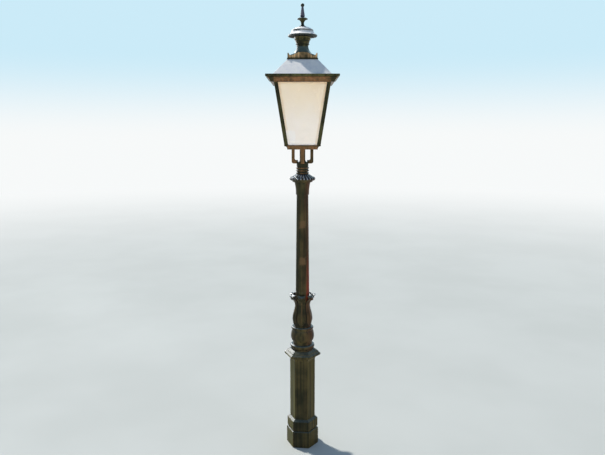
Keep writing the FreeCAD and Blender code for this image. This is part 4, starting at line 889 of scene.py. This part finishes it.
# %% Floor
FLOOR_TONE = (0.48, 0.50, 0.48, 1)
FLOOR_WORN = (0.45, 0.47, 0.45, 1)
HORIZON = (0.93, 0.95, 0.95, 1)
FLOOR_SIZE, FLOOR_ROUGHNESS = 60.0, 0.8
FADE_START, FADE_END = 3.0, 16.0


def looked_at(wire):
    """One for what is seen by the camera, in a mirror or through glass, nought for what only lights."""
    rays = [wire.node("ShaderNodeLightPath", {}, {}, output=kind)
            for kind in ("Is Camera Ray", "Is Glossy Ray", "Is Transmission Ray")]
    return rays[0] + rays[1] + rays[2]


bpy.ops.object.select_all(action="DESELECT")
bpy.ops.mesh.primitive_plane_add(size=FLOOR_SIZE, location=(0.0, 0.0, 0.0))
floor = bpy.context.object
floor.name = "floor"
floor_finish, floor_shader, floor_place = start_finish("pale_floor", Specular_IOR_Level=0.1)
worn = floor_place.noise(0.8, 3.0).rise(0.3, 0.7)
connect(floor_shader, Base_Color=worn.blend(FLOOR_TONE, FLOOR_WORN), Roughness=worn * 0.1 + FLOOR_ROUGHNESS)
settings = {"operation": "LENGTH"}
distance = floor_place.node("ShaderNodeVectorMath", settings, {0: floor_place}, output="Value")
fade = distance.rise(FADE_START, FADE_END) * looked_at(floor_place)
lit = Wire(floor_finish.node_tree, floor_shader.outputs[0])
pale = floor_place.node("ShaderNodeEmission", {}, {"Color": HORIZON})
faded = floor_place.node("ShaderNodeMixShader", {}, {0: fade, 1: lit, 2: pale})
faded.feed(floor_finish.node_tree.nodes["Material Output"].inputs["Surface"], faded)
floor.data.materials.append(floor_finish)
print("floor", floor.dimensions[0], "m wide")

# %% [markdown]
# A high key lamp behind the left shoulder of the lantern draws the bright upper edges and throws the
# chimney's shadow over the roof. A pale card on the same side is there only to be mirrored in the gloss of
# the ledges, and a soft warm fill from low in front lifts the panes.

# %% Lamps
LANTERN = Vector((0.0, 0.0, 1.9))
KEY_FROM, KEY_DISTANCE, KEY_POWER = Vector((-0.38, 0.37, 1.0)), 3.0, 3.7
KEY_ANGLE, KEY_COLOUR = math.radians(2.5), (1.0, 0.95, 0.87)
CARD_PLACE, CARD_AIM, CARD_POWER, CARD_SIZE = (-3.4, 3.5, 3.4), (0.0, 0.0, 1.1), 420.0, 4.0
FILL_PLACE, FILL_POWER, FILL_SIZE = (0.3, -2.2, 0.1), 26.0, 1.2
FILL_SPREAD, FILL_COLOUR = math.radians(100.0), (1.0, 0.95, 0.88)


def add_lamp(name, kind, place, aim, energy):
    """A lamp at a place, looking at a point."""
    bpy.ops.object.light_add(type=kind, location=place)
    lamp = bpy.context.object
    lamp.name = name
    lamp.rotation_euler = (Vector(aim) - Vector(place)).to_track_quat("-Z", "Y").to_euler()
    lamp.data.energy = energy
    lamp.visible_camera = False
    return lamp


key = add_lamp("key_light", "SUN", LANTERN + KEY_FROM * KEY_DISTANCE, LANTERN, KEY_POWER)
key.data.angle = KEY_ANGLE
key.data.color = KEY_COLOUR
card = add_lamp("gloss_card", "AREA", CARD_PLACE, CARD_AIM, CARD_POWER)
card.data.size = CARD_SIZE
card.visible_diffuse = False
fill = add_lamp("front_fill", "AREA", FILL_PLACE, LANTERN, FILL_POWER)
fill.data.size = FILL_SIZE
fill.data.color = FILL_COLOUR
fill.data.spread = FILL_SPREAD
fill.visible_glossy = False
print("key light", round(math.degrees(math.asin(KEY_FROM.normalized().z))), "degrees up")

# %% [markdown]
# The surround is a soft bluish light from all sides. What is seen of it, straight or in gloss, is a pale
# horizon that turns to light blue higher up. That picture and the light are kept apart by the same switch as
# on the floor.

# %% Surround
SURROUND_LIGHT = (0.28, 0.38, 0.53, 1)
ZENITH = (0.60, 0.83, 0.94, 1)
BLUE_START, BLUE_END = -0.02, 0.12
world = bpy.data.worlds.new("pale_surround")
bpy.context.scene.world = world
world.use_nodes = True
surround = Wire(world.node_tree)
height = surround.node("ShaderNodeTexCoord", {}, {}, output="Generated").part("Z")
sky = height.rise(BLUE_START, BLUE_END).blend(HORIZON, ZENITH)
seen = surround.node("ShaderNodeBackground", {}, {"Color": sky})
lighting = surround.node("ShaderNodeBackground", {}, {"Color": SURROUND_LIGHT})
both = surround.node("ShaderNodeMixShader", {}, {0: looked_at(surround), 1: lighting, 2: seen})
surround.feed(world.node_tree.nodes["World Output"].inputs["Surface"], both)
bpy.context.scene.view_settings.view_transform = "Standard"
print("surround from", HORIZON[:3], "to", ZENITH[:3])

# %% [markdown]
# The camera stands a little above eye height and looks slightly down, so the whole post fits in the frame.

# %% Camera
LENS, SENSOR = 35.7, 36.0
CAMERA_PLACE = (0.0, -3.333, 1.854)
CAMERA_TILT = math.radians(80.5)
bpy.ops.object.camera_add(location=CAMERA_PLACE, rotation=(CAMERA_TILT, 0.0, 0.0))
camera = bpy.context.object
camera.name = "photo_camera"
camera.data.sensor_width = SENSOR
camera.data.sensor_fit = "HORIZONTAL"
camera.data.lens = LENS
bpy.context.scene.camera = camera
print("camera at", CAMERA_PLACE)
